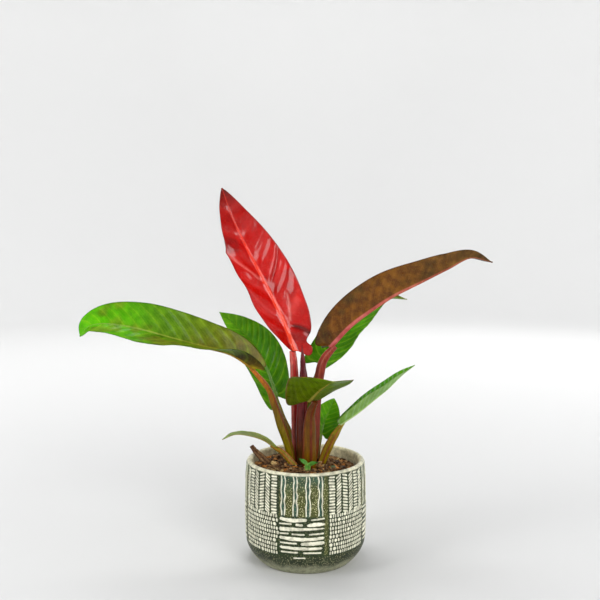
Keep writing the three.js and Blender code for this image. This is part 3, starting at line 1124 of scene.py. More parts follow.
        veins = np.abs(np.cos(math.pi * phase)) ** 14 * (1 - rib) * between(0.0, 0.06, place)
        margin = between(0.93, 1.0, out)
        upper, lower = self.colours(place, left, rib, veins, margin, shares, base)
        lift = np.array([0.0, 0.0, self.crown])
        surface = Surface()
        add_shell(surface, top + lift, bottom + lift,
                  tint=np.concatenate([upper.reshape(-1, 3), lower.reshape(-1, 3)]),
                  phase=np.concatenate([phase.ravel(), phase.ravel()]))
        surface.fit(*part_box(node))
        dress(surface.build(self.name), finish, slot, [node])

    def colours(self, place: Array, left: Array, rib: Array, veins: Array,
                margin: Array, shares: list[tuple[Crease, Array]],
                base: Array) -> tuple[Array, Array]:
        """Paint the two sides of the blade.

        Args:
            place: Place along the blade.
            left: Where the point is in the left half.
            rib: Share of the midrib.
            veins: Share of the side veins.
            margin: Share of the margin.
            shares: Creases with their shares.
            base: The points, for cloudy changes.

        Returns:
            Colours of the upper and the under side.
        """
        paints = self.paint
        cloud = noise(base, 26.0, self.seed + 20, 3)
        shifted = np.clip(place + 0.06 * cloud, 0, 1)
        upper = np.where(left[..., None] > 0, colour_run(paints.left, shifted),
                         colour_run(paints.right, shifted))
        lower = colour_run(paints.under, shifted)
        if paints.blotch is not None:
            patch = between(0.05, 0.5, noise(base, 17.0, self.seed + 31, 3)) * paints.blotch_share
            upper = toward(upper, paints.blotch, patch)
            lower = toward(lower, paints.blotch, patch)
        upper = upper * (1 + 0.16 * cloud)[..., None]
        lower = lower * (1 + 0.16 * cloud)[..., None]
        upper = toward(upper, paints.vein, veins * paints.vein_share)
        lower = toward(lower, paints.vein, veins * paints.vein_share * 0.7)
        # Crease colours: painted highlights and painted shade laid along the folds.
        for crease, share in shares:
            if crease.tint is not None:
                upper = toward(upper, crease.tint, share * crease.strength)
        upper = toward(upper, colour_run(paints.rib, place), between(0.25, 0.6, rib))
        lower = toward(lower, colour_run(paints.under_rib, place), between(0.2, 0.5, rib))
        upper = toward(upper, paints.margin, margin * paints.margin_share)
        lower = toward(lower, paints.margin, margin * paints.margin_share)
        return np.clip(upper, 0, 1), np.clip(lower, 0, 1)


# ---- Pot ----

GROUND = paint(44, 58, 34)
SLIP = paint(240, 237, 214)
CREAM = paint(230, 226, 198)
FOOT_CLAY = paint(160, 162, 132)
TEAL = paint(48, 86, 78)
OLIVE = np.array(paint(84, 88, 44))
DARK_BAND = paint(54, 62, 44)
INNER = paint(230, 220, 184)
SLIP_STAIN = paint(120, 128, 100)
POT_WALL = 6.0
POT_SWELL = 2.5


@dataclass
class Pot:
    """The stoneware pot: a turned wall with slip trailed on it in panels.

    Panels of two kinds take turns round the wall, four of each. Each has an upper and a
    lower field.
    """

    swell: float = POT_SWELL
    foot_inset: float = 13.0
    foot_round: float = 1.0
    corner: float = 30.0
    wall: float = POT_WALL
    lip: float = 4.0
    relief: float = 0.75
    band_low: float = 23.5
    band_middle: float = 66.0
    band_high: float = 108.6
    repeats: int = 4
    line_panel: tuple[float, float] = (-25.0, 17.0)
    brick_panel: tuple[float, float] = (20.5, 63.5)
    seam: float = 43.6
    pair_pitch: float = 13.4
    pair_gap: float = 3.8
    row_spread: float = 1.12
    row_swell: float = 1.2
    around: int = 288

    def __post_init__(self) -> None:
        """Take the pot's height and width from its node."""
        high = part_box("pot")[1]
        self.height = high.z / MM
        self.belly = high.x / MM
        self.rim = self.belly - self.swell
        self.foot = self.rim - self.foot_inset
        self.random = np.random.default_rng(41)
        self.draw = self.random.uniform

    def outside(self) -> tuple[Array, Array]:
        """Work out the outside's outline.

        Returns:
            The radii and the heights, from the underside's edge up to the lip.
        """
        lower = self.belly - 0.6
        s = np.linspace(0.0, 1.0, 24)
        corner_r = (1 - s) ** 2 * self.foot + 2 * s * (1 - s) * lower + s**2 * lower
        middle = self.corner * 0.45
        corner_z = (1 - s) ** 2 * self.foot_round + 2 * s * (1 - s) * middle + s**2 * self.corner
        top = self.height - self.lip
        knots_z = [self.corner, self.height * 0.5, self.height * 0.86, top]
        knots_r = [lower, self.belly, self.belly - 0.8, self.rim + 0.6]
        z = np.linspace(self.corner, top, 74)[1:]
        r = np.interp(z, knots_z, knots_r)
        return np.concatenate([corner_r, r]), np.concatenate([corner_z, z])

    def wall_radius(self, z: Array) -> Array:
        """Find the wall's outside radius, with the slip.

        Args:
            z: Heights.

        Returns:
            The radius at each height.
        """
        radius, height = self.outside()
        lip = self.wall / 2
        over = np.clip(z - (self.height - lip), 0.0, lip * 0.9)
        return np.interp(z, height, radius) - (lip - np.sqrt(lip**2 - over**2))

    def body(self) -> None:
        """Build the turned body, its ground a little behind the slip."""
        radius, height = self.outside()
        carved = between(self.band_low - 3, self.band_low + 1, height)
        carved = carved * (1 - between(self.band_high - 2.2, self.band_high - 1.2, height))
        angle = np.linspace(math.pi * 0.02, math.pi * 0.98, 15)
        lip = self.wall / 2
        lip_r = self.rim - lip + lip * np.cos(angle)
        lip_z = self.height - lip + lip * np.sin(angle)
        mouth = self.rim - self.wall
        inner_z = np.linspace(self.height - lip - 1.5, self.height - 24, 18)
        foot_r = np.array([0.01, self.foot * 0.5, self.foot - 5.5, self.foot - 4.5,
                           self.foot - self.foot_round])
        foot_z = np.array([1.2, 1.2, 1.2, 0.0, 0.0])
        all_r = np.concatenate([foot_r, radius, lip_r, np.full(len(inner_z), mouth), [mouth - 12, 0.01]])
        all_z = np.concatenate([foot_z, height, lip_z, inner_z, [self.height - 40, self.height - 40]])
        sunk = np.zeros((len(all_r), 1))
        sunk[len(foot_r):len(foot_r) + len(radius), 0] = carved
        theta = np.linspace(0, TURN, self.around, endpoint=False)
        grid_r = np.broadcast_to(all_r[:, None], (len(all_r), self.around))
        grid_z = np.broadcast_to(all_z[:, None], grid_r.shape)
        rough = noise(front_points(grid_r, theta, grid_z), 6.0, 3, 3)
        inward = self.relief * sunk * (1.0 + 0.12 * rough)
        inward += 0.12 * between(3.0, 6.0, grid_z) * (1 - sunk) * (1 + rough)
        points = front_points(np.maximum(grid_r - inward, 0.01), theta, grid_z)
        outer_rows = len(foot_r) + len(radius) + len(angle) // 2 + 1
        tint, light, dark = self.ground_colours(points, np.arange(len(all_r))[:, None] < outer_rows)
        surface = Surface()
        add_tube(surface, points, tint=tint, light_specks=light, dark_specks=dark)
        finish = ClayFinish("speckled_glaze").material()
        dress(surface.build("pot_body"), finish, Slot.STONEWARE, ["pot"])

    def ground_colours(self, points: Array,
                       outer: Array) -> tuple[Array, Array, Array]:
        """Paint the glaze's zones.

        Args:
            points: The body's points.
            outer: Where a point is on the outside or the lip's outer half.

        Returns:
            The colour, and how dense the light and the dark specks are.
        """
        z = points[..., 2]
        cloud = noise(points, 9.0, 11, 3)
        patch = noise(points, 22.0, 12, 2)

        def clouded(colour: Colour, strength: float, clouds: Array = cloud) -> Array:
            """Make a colour lighter and darker in clouds."""
            return np.asarray(colour) * (1 + strength * clouds)[..., None]

        degrees = np.degrees(np.arctan2(points[..., 0], -points[..., 1]))
        local = (degrees - self.line_panel[0]) % (360.0 / self.repeats)
        panel = self.line_panel[1] - self.line_panel[0]
        upper = between(self.band_middle - 1, self.band_middle + 1, z) * (local < panel)
        arc = np.radians(local - panel / 2) * self.belly
        from_pair = np.abs((arc / self.pair_pitch) % 1.0 - 0.5) * self.pair_pitch
        between_lines = 1 - between(self.pair_gap * 0.4, self.pair_gap * 0.6, from_pair)
        wet = np.maximum(between(88, 108, z + 10 * patch) * 0.7, between_lines * 0.9)
        seam = 1 - between(1.2, 2.2, np.abs(local - self.seam) * math.pi / 180 * self.belly)
        seam = seam * between(self.band_low, self.band_low + 3, z)
        band = 1 - between(self.band_low - 2, self.band_low + 2, z + 1.5 * cloud)
        bare = 1 - between(5, 15, z + 4 * cloud + 2 * patch)
        rim = between(self.band_high - 0.6, self.band_high + 0.6, z + 0.4 * cloud) * outer
        inside = 1.0 - outer.astype(float)
        base = toward(clouded(GROUND, 0.25), toward(OLIVE, TEAL, wet), upper * 0.9)
        base = toward(base, OLIVE * 1.15, seam * 0.8)
        base = toward(base, clouded(DARK_BAND, 0.3), band)
        base = toward(base, clouded(FOOT_CLAY, 0.12), bare)
        base = toward(base, clouded(CREAM, 0.14), rim)
        base = toward(base, clouded(INNER, 0.16, patch), inside)
        light = 0.2 + 0.8 * upper * (1 - wet) + 0.3 * band * (1 - bare) + 0.6 * seam
        light = light * (1 - rim) * (1 - inside)
        dark = 0.15 + 0.6 * bare + 0.35 * rim + 0.35 * inside
        return np.clip(base, 0, 1), light, dark

    def stroke(self, surface: Surface, route: Array, width: Array, height: float,
               steps: int, columns: int, upright: bool = False) -> None:
        """Lay one raised stroke of slip on the wall.

        Args:
            surface: The mesh that it is added to.
            route: Points of its middle line: distance round the wall and height, in millimetres.
            width: Its width at those points.
            height: Its height as a share of the relief.
            steps: Number of steps along it.
            columns: Number of steps across it.
            upright: Whether its ends are cut upright instead of square to its direction.
        """
        t = np.linspace(0.0, 1.0, steps + 1)
        route = np.asarray(route, float)
        if len(route) == 2:
            line = route[0] + (route[1] - route[0]) * t[:, None]
        else:
            line = curve(np.column_stack([route, np.zeros(len(route))]), t)[:, :2]
        shape = np.interp(t, np.linspace(0, 1, len(width)), width)
        direction = unit(np.gradient(line, axis=0))
        aside = np.stack([-direction[:, 1], direction[:, 0]], axis=-1)
        if upright:
            aside = np.broadcast_to([0.0, 1.0], aside.shape)
        length = np.linalg.norm(np.diff(line, axis=0), axis=1).sum()
        reach = np.minimum(t, 1 - t) * length / np.maximum(shape * (0.25 if upright else 0.5), 0.3)
        ends = np.sqrt(np.clip(1 - (1 - np.clip(reach, 0, 1)) ** 2, 0.03, 1))
        seed = int(self.random.integers(0, 4000))
        c = np.linspace(-1.0, 1.0, columns + 1)
        along = np.repeat(t[:, None], columns + 1, 1) * length
        probe = np.stack([along, np.sign(c)[None].repeat(len(t), 0) * 5, np.zeros(along.shape)], -1)
        ragged = 1 + 0.16 * noise(probe, 1.6, seed)
        spread = c[None] * (shape * ends / 2)[:, None] * ragged
        flat = line[:, None] + spread[..., None] * aside[:, None]
        dome = (1 - np.abs(c) ** 2.6) ** 0.6
        rise = dome[None] * np.clip(ends * 1.4, 0, 1)[:, None] * (0.86 + 0.14 * noise(probe, 2.2, seed + 1))
        rise = rise * height
        theta = flat[..., 0] / self.belly
        z = flat[..., 1]
        full = self.wall_radius(z)
        outer = np.minimum(full - self.relief * (1.12 - 1.1 * rise), full - 0.01)
        top = front_points(outer, theta, z)
        bottom = front_points(full - self.relief * 1.35, theta, z)
        shade = 1 + 0.1 * self.draw(-1, 1)
        edge = np.clip(rise / max(height, 0.01), 0, 1).reshape(-1)
        stain = between(0.02, 0.35, edge)[:, None]
        mottled = noise(top.reshape(-1, 3), 7.0, 77, 2)[:, None]
        tint = np.array(SLIP_STAIN) * (1 - stain) + np.array(SLIP) * shade * stain
        tint = tint * (1 + 0.1 * mottled)
        tint = np.clip(np.concatenate([tint, tint]), 0, 1)
        add_shell(surface, top, bottom, flip=True, tint=tint, light_specks=0.0, dark_specks=0.25)

    def broad_rows(self, surface: Surface, centre: float, mirror: int) -> None:
        """Trail the broad, uneven rows of a line panel's lower field.

        Args:
            surface: The mesh that they are added to.
            centre: The panel's middle, as a distance round the wall.
            mirror: 1, or -1 to turn the pattern about its middle.
        """
        rows = [
            (63.0, [(-21.5, 0.9), (-10, -0.4), (5.5, 0.6)], [2.9, 4.0, 2.9]),
            (63.0, [(8.5, 0.2), (22, 1.4)], [1.5, 1.9]),
            (58.0, [(-22, 0), (-9, 0.8)], [1.4, 1.7]),
            (58.0, [(-6, 0.2), (1.5, -0.5)], [2.4, 2.2]),
            (58.0, [(5, -0.4), (13, 0.5), (22, 0.3)], [2.2, 4.0, 2.4]),
            (53.0, [(-22, -0.4), (-4, 0.6), (22, 0.9)], [4.2, 3.2, 1.3]),
            (48.0, [(-21, 0), (-12, 0.5)], [1.5, 1.5]),
            (48.0, [(-9.5, 0.3), (3, -0.3)], [1.7, 1.7]),
            (48.0, [(7, 0), (21.5, 0.7)], [1.6, 1.7]),
            (43.0, [(-22, 0.7), (-9, -0.2), (8, -0.3), (22, 0.7)], [2.6, 3.9, 3.2, 2.8]),
            (38.0, [(-21, 0.2), (-4, 0.4)], [1.6, 1.6]),
            (38.0, [(-1, -0.2), (10, 0.2), (22, 0.5)], [2.8, 3.8, 3.2]),
            (33.0, [(-21.5, 0.6), (0, -0.4), (20, -0.1)], [2.6, 2.9, 2.4]),
            (28.2, [(-20.5, 0.2), (-3, 0.6)], [1.6, 1.7]),
            (28.2, [(1, 0.3), (19, -0.2)], [1.7, 1.6]),
            (22.5, [(-8, 0), (4, 0.3)], [1.4, 1.5]),
        ]
        for z, route, width in rows:
            wobble = self.draw(-0.3, 0.3, (len(route), 2))
            points = [(centre + mirror * u * self.row_spread + a, z + v + b)
                      for (u, v), (a, b) in zip(route, wobble)]
            self.stroke(surface, np.array(points), np.array(width) * self.row_swell, 1.0, 26, 8)

    def wavy_lines(self, surface: Surface, centre: float) -> None:
        """Trail the four pairs of thin upright lines of a line panel's upper field.

        Args:
            surface: The mesh that they are added to.
            centre: The panel's middle, as a distance round the wall.
        """
        pairs = 4
        low, high = self.band_middle + 0.6, self.band_high
        for pair in range(pairs):
            for place in (-0.5, 0.5):
                u = centre + (pair - (pairs - 1) / 2) * self.pair_pitch + place * self.pair_gap
                z = np.linspace(low, high, 9)
                sway = self.draw(-0.75, 0.75, 9)
                points = np.stack([u + sway, z], axis=-1)
                self.stroke(surface, points, self.draw(1.25, 2.0, 9), 0.95, 48, 4)

    def slanted_bricks(self, surface: Surface, centre: float, mirror: int) -> None:
        """Trail the six columns of short slanted bars of a brick panel's upper field.

        Args:
            surface: The mesh that they are added to.
            centre: The panel's middle, as a distance round the wall.
            mirror: 1, or -1 to turn the pattern about its middle.
        """
        slopes = [-3.0, 33.0, -16.0, 33.0, 0.0, 28.0]
        pitch = 8.35
        for column, slope in enumerate(slopes):
            u = centre + mirror * (column - 2.5) * pitch
            for row in range(13):
                z = self.band_high - 2.4 - row * 3.15 + self.draw(-0.15, 0.15)
                angle = math.radians(slope * mirror + self.draw(-4, 4))
                half = self.draw(3.55, 3.9)
                reach = np.array([math.cos(angle), math.sin(angle)]) * half
                middle = np.array([u + self.draw(-0.25, 0.25), z])
                points = np.array([middle - reach, middle + reach])
                points[:, 1] = np.clip(points[:, 1], self.band_middle + 1.2, self.band_high - 0.8)
                self.stroke(surface, points, self.draw(2.3, 2.75, 3), 1.0, 10, 5, upright=True)

    def short_dashes(self, surface: Surface, centre: float) -> None:
        """Trail the ten rows of short upright dashes of a brick panel's lower field.

        Args:
            surface: The mesh that they are added to.
            centre: The panel's middle, as a distance round the wall.
        """
        half = (self.brick_panel[1] - self.brick_panel[0]) / 2 * math.pi / 180 * self.belly
        rows = 10
        step = (self.band_middle - self.band_low + 1.0) / rows
        for row in range(rows):
            z = self.band_low + 1.2 + (row + 0.5) * step - 0.6
            place = -half + self.draw(0.6, 1.6)
            while place < half - 1.2:
                width = self.draw(1.9, 3.0)
                if self.random.random() < 0.14:
                    width += 2.0
                tall = step * self.draw(0.82, 0.92)
                tilt = self.draw(-0.25, 0.25)
                middle = place + width / 2
                points = np.array([(centre + middle - tilt, z - tall / 2),
                                   (centre + middle + tilt, z + tall / 2)])
                points[:, 1] = np.maximum(points[:, 1], self.band_low - 2.0)
                self.stroke(surface, points, np.full(3, width), 1.0, 7, 6)
                place += width + self.draw(0.45, 0.75)

    def slip(self) -> None:
        """Trail all the slip: every panel round the wall."""
        surface = Surface()
        turn = TURN * self.belly / self.repeats
        to_arc = math.pi / 180 * self.belly
        lines = sum(self.line_panel) / 2 * to_arc
        bricks = sum(self.brick_panel) / 2 * to_arc
        for repeat in range(self.repeats):
            mirror = 1 if repeat % 2 == 0 else -1
            for kind in Weave:
                if kind is Weave.WAVY_LINES:
                    self.wavy_lines(surface, lines + repeat * turn)
                elif kind is Weave.BROAD_ROWS:
                    self.broad_rows(surface, lines + repeat * turn, mirror)
                elif kind is Weave.SLANTED_BRICKS:
                    self.slanted_bricks(surface, bricks + repeat * turn, mirror)
                else:
                    self.short_dashes(surface, bricks + repeat * turn)
        finish = ClayFinish("trailed_slip", roughness=0.55, dark_speck=paint(120, 122, 96)).material()
        dress(surface.build("pot_slip"), finish, Slot.STONEWARE, [])

    def build(self) -> None:
        """Build the pot."""
        self.body()
        self.slip()


# ---- Soil, bark, stem and small growth ----


@dataclass
class SoilBed:
    """Bark and fibre heaped in the pot, with larger chips lying on it."""

    below_rim: float = 12.0
    mound: float = 6.0
    crumbs: int = 620
    fibres: int = 130
    chips: int = 24
    tilt: float = 1.8

    def __post_init__(self) -> None:
        """Take the mouth and the soil's level from the frame."""
        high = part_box("pot")[1]
        self.mouth = high.x / MM - POT_SWELL - POT_WALL
        self.edge = high.z / MM - self.below_rim
        self.random = np.random.default_rng(7)
        self.draw = self.random.uniform

    def level(self, radius: Array) -> Array:
        """Find the heaped soil's height at a distance from the axis."""
        return self.edge + self.mound * (0.5 + 0.5 * np.cos(math.pi * np.asarray(radius) / self.mouth))

    def bark_colour(self, count: int) -> Array:
        """Pick bark colours: mostly dark, some tan, a few bright orange-brown.

        Args:
            count: How many.

        Returns:
            A colour for each.
        """
        kinds = np.array([paint(80, 56, 38), paint(114, 82, 52), paint(150, 108, 64), paint(194, 120, 54),
                          paint(56, 42, 34), paint(184, 152, 100)])
        picks = self.random.choice(len(kinds), count, p=[0.24, 0.25, 0.2, 0.11, 0.08, 0.12])
        return np.clip(kinds[picks] * self.draw(0.75, 1.25, (count, 1)), 0, 1)

    def lump(self, size: Array, seed: int, rows: int, columns: int) -> Array:
        """Shape an uneven, blunt splinter of bark about the origin, long along X.

        Args:
            size: Its length, width and height.
            seed: Picks its shape.
            rows: Number of rings.
            columns: Number of points in a ring.

        Returns:
            The points, shaped ring by place round the ring by three.
        """
        blunt = 0.08
        a = np.linspace(blunt, math.pi - blunt, rows)
        b = np.linspace(0, TURN, columns, endpoint=False)

        def square(value: Array, power: float) -> Array:
            """Push a sine or cosine towards a squarer outline."""
            return np.sign(value) * np.abs(value) ** power

        x = -square(np.cos(a), 0.75)[:, None] + 0 * b
        y = square(np.sin(a), 0.5)[:, None] * square(np.cos(b), 0.6)
        z = square(np.sin(a), 0.5)[:, None] * square(np.sin(b), 0.6)
        rings = np.stack([x, y, z], axis=-1)
        bumps = noise(rings + seed * 3.7, 0.9, seed, 2)[..., None]
        rings = rings * (1 + 0.3 * bumps)
        rings[..., 2] += 0.125 * np.sin(3 * rings[..., 0] + seed)
        return rings * np.asarray(size) / 2

    def turned(self, rings: Array, yaw: float, pitch: float, roll: float) -> Array:
        """Turn rings of points about the three axes.

        Args:
            rings: The points.
            yaw: Angle about the vertical axis.
            pitch: Angle about Y.
            roll: Angle about X.

        Returns:
            The turned points.
        """
        cy, sy, cp, sp = math.cos(yaw), math.sin(yaw), math.cos(pitch), math.sin(pitch)
        cr, sr = math.cos(roll), math.sin(roll)
        about_x = np.array([[1, 0, 0], [0, cr, -sr], [0, sr, cr]])
        about_y = np.array([[cp, 0, sp], [0, 1, 0], [-sp, 0, cp]])
        about_z = np.array([[cy, -sy, 0], [sy, cy, 0], [0, 0, 1]])
        return rings @ (about_z @ about_y @ about_x).T

    def bed(self) -> None:
        """Build the heaped surface and the body of soil under it."""
        radius = np.linspace(0.3, self.mouth - 0.1, 64)[:, None]
        theta = np.linspace(0, TURN, 200, endpoint=False)
        points = side_points(radius, theta, self.level(radius))
        rough = 1.3 * noise(points, 5.0, 5, 3) + 0.9 * np.abs(noise(points, 2.2, 6, 2))
        tilt = -self.tilt * points[..., 0] / self.mouth
        points[..., 2] += rough - 0.5 + tilt
        side_z = np.linspace(self.edge - 2, self.edge - 70, 6)
        side = np.stack([side_points(self.mouth - 0.3 - 0.25 * k, theta, z) for k, z in enumerate(side_z)])
        rings = np.concatenate([points, side])
        cloud = noise(rings, 4.0, 8, 3)
        tint = colour_run(stops((0, 38, 26, 22), (0.5, 62, 42, 32), (1, 112, 76, 50)),
                          0.5 + 0.6 * cloud)
        surface = Surface()
        add_tube(surface, rings[::-1], tint=tint[::-1])
        finish = BarkFinish("soil_crumb", 0.9, 1.0, 0.95).material()
        dress(surface.build("soil_bed"), finish, Slot.SOIL, ["soil"])

    def lay_crumbs(self, surface: Surface) -> None:
        """Scatter small bark over the bed.

        Args:
            surface: The mesh that it is added to.
        """
        tones = self.bark_colour(self.crumbs)
        for index in range(self.crumbs):
            radius = self.mouth * math.sqrt(self.draw(0.05, 0.93))
            angle = self.draw(0, TURN)
            long = self.draw(3.2, 10.5)
            size = long * np.array([1.0, self.draw(0.3, 0.6), self.draw(0.15, 0.35)])
            rings = self.lump(size, index + 100, 6, 8)
            yaw, pitch, roll = self.draw([0, -0.55, -0.7], [math.pi, 0.55, 0.7])
            rings = self.turned(rings, yaw, pitch, roll)
            keep = min(radius, self.mouth - long * 0.55 - 0.5)
            place = np.array([keep * math.cos(angle), keep * math.sin(angle), 0.0])
            place[2] = float(self.level(keep)) + self.draw(0.3, 2.4)
            place[2] -= self.tilt * place[0] / self.mouth
            add_tube(surface, rings + place, tint=tones[index])

    def lay_fibres(self, surface: Surface) -> None:
        """Scatter strands of coir over the bed.

        Args:
            surface: The mesh that they are added to.
        """
        coir = np.array(paint(128, 88, 52))
        for _ in range(self.fibres):
            radius = self.mouth * math.sqrt(self.draw(0.08, 0.8))
            angle = self.draw(0, TURN)
            yaw = self.draw(0, TURN)
            long = self.draw(7, 16)
            t = np.linspace(-0.5, 0.5, 9)
            bow = self.draw(-5, 5)
            x = radius * math.cos(angle) + long * t * math.cos(yaw) - bow * (0.25 - t**2) * math.sin(yaw)
            y = radius * math.sin(angle) + long * t * math.sin(yaw) + bow * (0.25 - t**2) * math.cos(yaw)
            far = np.maximum(np.hypot(x, y) / (self.mouth - 1.5), 1.0)
            x, y = x / far, y / far
            z = self.level(np.hypot(x, y)) + self.draw(0.8, 2.8)
            z = z + self.draw(0, 3) * (0.25 - t**2)
            thick = self.draw(0.25, 0.55) * (1 - 0.6 * np.abs(2 * t) ** 2)
            rings = round_rings(np.stack([x, y, z], axis=-1), thick, 5)
            add_tube(surface, rings[:, ::-1], tint=coir * self.draw(0.5, 1.3))

    def litter(self) -> None:
        """Build everything small that lies loose on the bed."""
        surface = Surface()
        self.lay_crumbs(surface)
        self.lay_fibres(surface)
        dress(surface.build("soil_litter"), BarkFinish("small_bark", 0.6, 3.0).material(), Slot.BARK, [])

    def bark(self) -> None:
        """Build a larger chip for each chip of the frame."""
        finish = BarkFinish("bark_grain", 0.55, 6.0).material()
        tones = self.bark_colour(self.chips)
        for index in range(self.chips):
            node = f"bark_chip_{index + 1:02d}"
            low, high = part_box(node)
            size = np.array(high - low) / MM
            long, wide = max(size[0], size[1]), min(size[0], size[1])
            rings = self.lump(np.array([long, wide, size[2] * 1.2]), index * 5 + 1, 14, 16)
            if size[1] > size[0]:
                rings = self.turned(rings, math.pi / 2, 0.0, 0.0)
            surface = Surface()
            tint = np.clip(tones[index] * (1 + 0.25 * noise(rings, 2.5, index, 2))[..., None], 0, 1)
            add_tube(surface, rings, tint=tint)
            surface.fit(low, high)
            dress(surface.build(node.replace("bark", "loose_bark")), finish, Slot.BARK, [node])

    def build(self) -> None:
        """Build the soil and everything loose on it."""
        self.bed()
        self.litter()
        self.bark()


@dataclass
class Rootstock:
    """The short stem that the stalks grow from, ringed with old leaf scars, and its roots."""

    crown: float
    depth: float = 46.0
    roots: int = 5

    def build(self) -> None:
        """Build the stem and roots as one piece."""
        surface = Surface()
        drop = np.linspace(0.0, 1.0, 44)
        radius = np.interp(drop, [0, 0.02, 0.1, 0.22, 0.56, 1.0], [0.5, 9.0, 16.0, 17.5, 8.0, 4.0])
        height = self.crown + 0.3 - drop * self.depth
        angle = np.linspace(0, TURN, 72, endpoint=False)
        rings = side_points(radius[:, None], angle, height[:, None])
        scars = 0.6 * np.sin(drop * 60)[:, None] * between(0.05, 0.15, drop)[:, None]
        bumps = noise(rings, 5.0, 60, 3)
        outward = (1 + (scars + 1.2 * bumps) / np.maximum(radius[:, None], 4.0))[..., None]
        lowered = rings[..., 2:] + 0.5 * bumps[..., None] - 0.5
        rings = np.concatenate([rings[..., :2] * outward, lowered], axis=-1)
        tint = colour_run(stops((0, 72, 50, 30), (0.5, 104, 74, 42), (1, 136, 108, 62)),
                          0.5 + 0.7 * bumps)
        add_tube(surface, rings[::-1], tint=tint[::-1])
        low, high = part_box("stem_with_roots")
        reach = high.y / MM - 1.4
        for index in range(self.roots):
            turn = index / self.roots * TURN + 0.4
            t = np.linspace(0, 1, 36)
            away = 2 + (reach - 2) * t
            start, end = self.crown - 28, low.z / MM + 1.4
            z = start + (end - start) * t**1.6
            sway = turn + 0.12 * np.sin(5 * t + index)
            centre = np.stack([away * np.cos(sway), away * np.sin(sway), np.minimum(z, start)], axis=-1)
            thick = (2.4 - 1.2 * t) * (1 + 0.1 * np.sin(30 * t + index))
            add_tube(surface, round_rings(centre, thick, 12)[:, ::-1], tint=np.array(paint(150, 120, 78)))
        surface.fit(low, high)
        finish = BarkFinish("stem_skin", 0.8, 1.0, 0.7).material()
        dress(surface.build("stem_and_roots"), finish, Slot.STEM, ["stem_with_roots"])


@dataclass
class SmallGrowth:
    """The rolled new leaf, the dried stalk, the sprout and the fallen leaflet."""

    crown: float

    def rolled_leaf(self, finish: Material) -> None:
        """Build the new leaf, still rolled into a spear with its overlapping edge.

        Args:
            finish: Its material.
        """
        shape = StalkShape(
            route=[(-4, -1, 0), (-5, -2, 35), (-4, -4, 65), (-2.5, -5, 93), (-3, -4, 111), (-4, -3, 132)],
            width=[10.5, 11.5, 11, 9, 6, 0.9],
            body=stops((0, 112, 84, 34), (0.16, 104, 44, 26), (0.4, 92, 20, 26),
                       (0.8, 84, 12, 24), (1, 120, 20, 30)),
            edge=stops((0, 150, 110, 50), (0.3, 132, 40, 40), (1, 150, 40, 48)),
            channel_at=58.0, channel_depth=(0.16, 0.12), channel_width=16.0, rows=110, columns=48)
        Stalk("rolled_new_leaf", shape, self.crown, seed=12).build(finish, Slot.MAROON_STALK, "rolled_leaf")

    def dried_stalk(self) -> None:
        """Build the dried, split stub of an old stalk."""
        low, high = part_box("dried_stalk")
        brown = stops((0, 74, 52, 38), (0.5, 104, 72, 50), (1, 70, 46, 36))
        shape = StalkShape(
            route=[(0, 0, 0), (-7, -1, 8), (-13, -3, 15), (-19, -4, 24)], width=[9.5, 9, 7.5, 5.5],
            body=brown, edge=stops((0, 150, 112, 74), (1, 120, 84, 56)),
            channel_at=70.0, channel_depth=(0.5, 0.5), channel_width=34.0, flutes=0.09)
        rings, t, edge = Stalk("dried", shape, 0.0, seed=3).rings()
        surface = Surface()
        rings = rings + 0.35 * noise(rings, 2.0, 4, 2)[..., None]
        tint = colour_run(shape.body, t)
        tint = toward(tint, colour_run(shape.edge, t), edge)
        add_tube(surface, rings, tint=np.clip(tint, 0, 1))
        surface.fit(low, high)
        dress(surface.build("dried_stub"), BarkFinish("dry_stem", 0.6, 1.0).material(), Slot.DRIED_STALK,
              ["dried_stalk"])

    def sprout(self) -> None:
        """Build the young shoot: a stem and two pointed leaves."""
        low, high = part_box("sprout")
        surface = Surface()
        greens = stops((0, 150, 164, 92), (0.35, 88, 144, 58), (1, 42, 112, 42))
        parts = [
            ([(0, 0, 0), (0.5, 0, 4), (0, 0, 8)], [6, 6, 1.4]),
            ([(0, 0, 5), (-4, 0, 10), (-9, 0, 14)], [3.4, 5.4, 0.9]),
            ([(0, 0, 4), (5, -1, 8), (11, -1, 9)], [3.4, 5.4, 0.9]),
        ]
        for index, (route, width) in enumerate(parts):
            shape = StalkShape(
                route=route, width=width, body=greens,
                edge=stops((0, 150, 190, 110), (1, 90, 160, 70)),
                channel_at=80.0, channel_depth=(0.3, 0.55), channel_width=46.0, rows=36, columns=26)
            rings, t, edge = Stalk("shoot", shape, 0.0, 0.6, seed=index).rings()
            tint = colour_run(greens, t) * (1 + 0.3 * edge[..., None])
            add_tube(surface, rings, tint=np.clip(tint, 0, 1))
        surface.fit(low, high)
        finish = StalkFinish("young_shoot_skin", 0.42, 0.15, 0.25).material()
        dress(surface.build("young_shoot"), finish, Slot.YOUNG_GREEN, ["sprout"])

    def leaflet(self) -> None:
        """Build the small fallen leaf: a thin cupped oval with a midrib."""
        shape = BladeShape(
            midrib=[(0, 0, 0), (5, 0, 1.2), (10, 0.4, 1.4), (15, 0.8, 0.6)],
            face=[(0, 0, 1), (0, 0, 1)], half=(4.0, 4.0), fold=([14, 10], [14, 10]), widest=0.5,
            taper=0.6, lobe=(0.0, 0.0), pleat_pitch=2.4, pleat_height=0.1, wave=0.3, waves=2.0,
            rib_width=0.5, rib_height=0.2, under_rib=0.3, thickness=0.5, rows=50, columns=14)
        green = stops((0, 60, 96, 44), (0.6, 44, 92, 40), (1, 86, 104, 44))
        colours = BladePaint(
            left=green, right=green, under=green,
            rib=stops((0, 120, 150, 80), (1, 90, 130, 60)),
            under_rib=green, vein=paint(96, 140, 70), margin=paint(110, 110, 50))
        blade = Blade("fallen_leaflet", shape, colours, 0.0, seed=2)
        blade.build(LeafFinish("leaflet_skin", 0.4, 0.2).material(), Slot.YOUNG_GREEN, "leaflet")


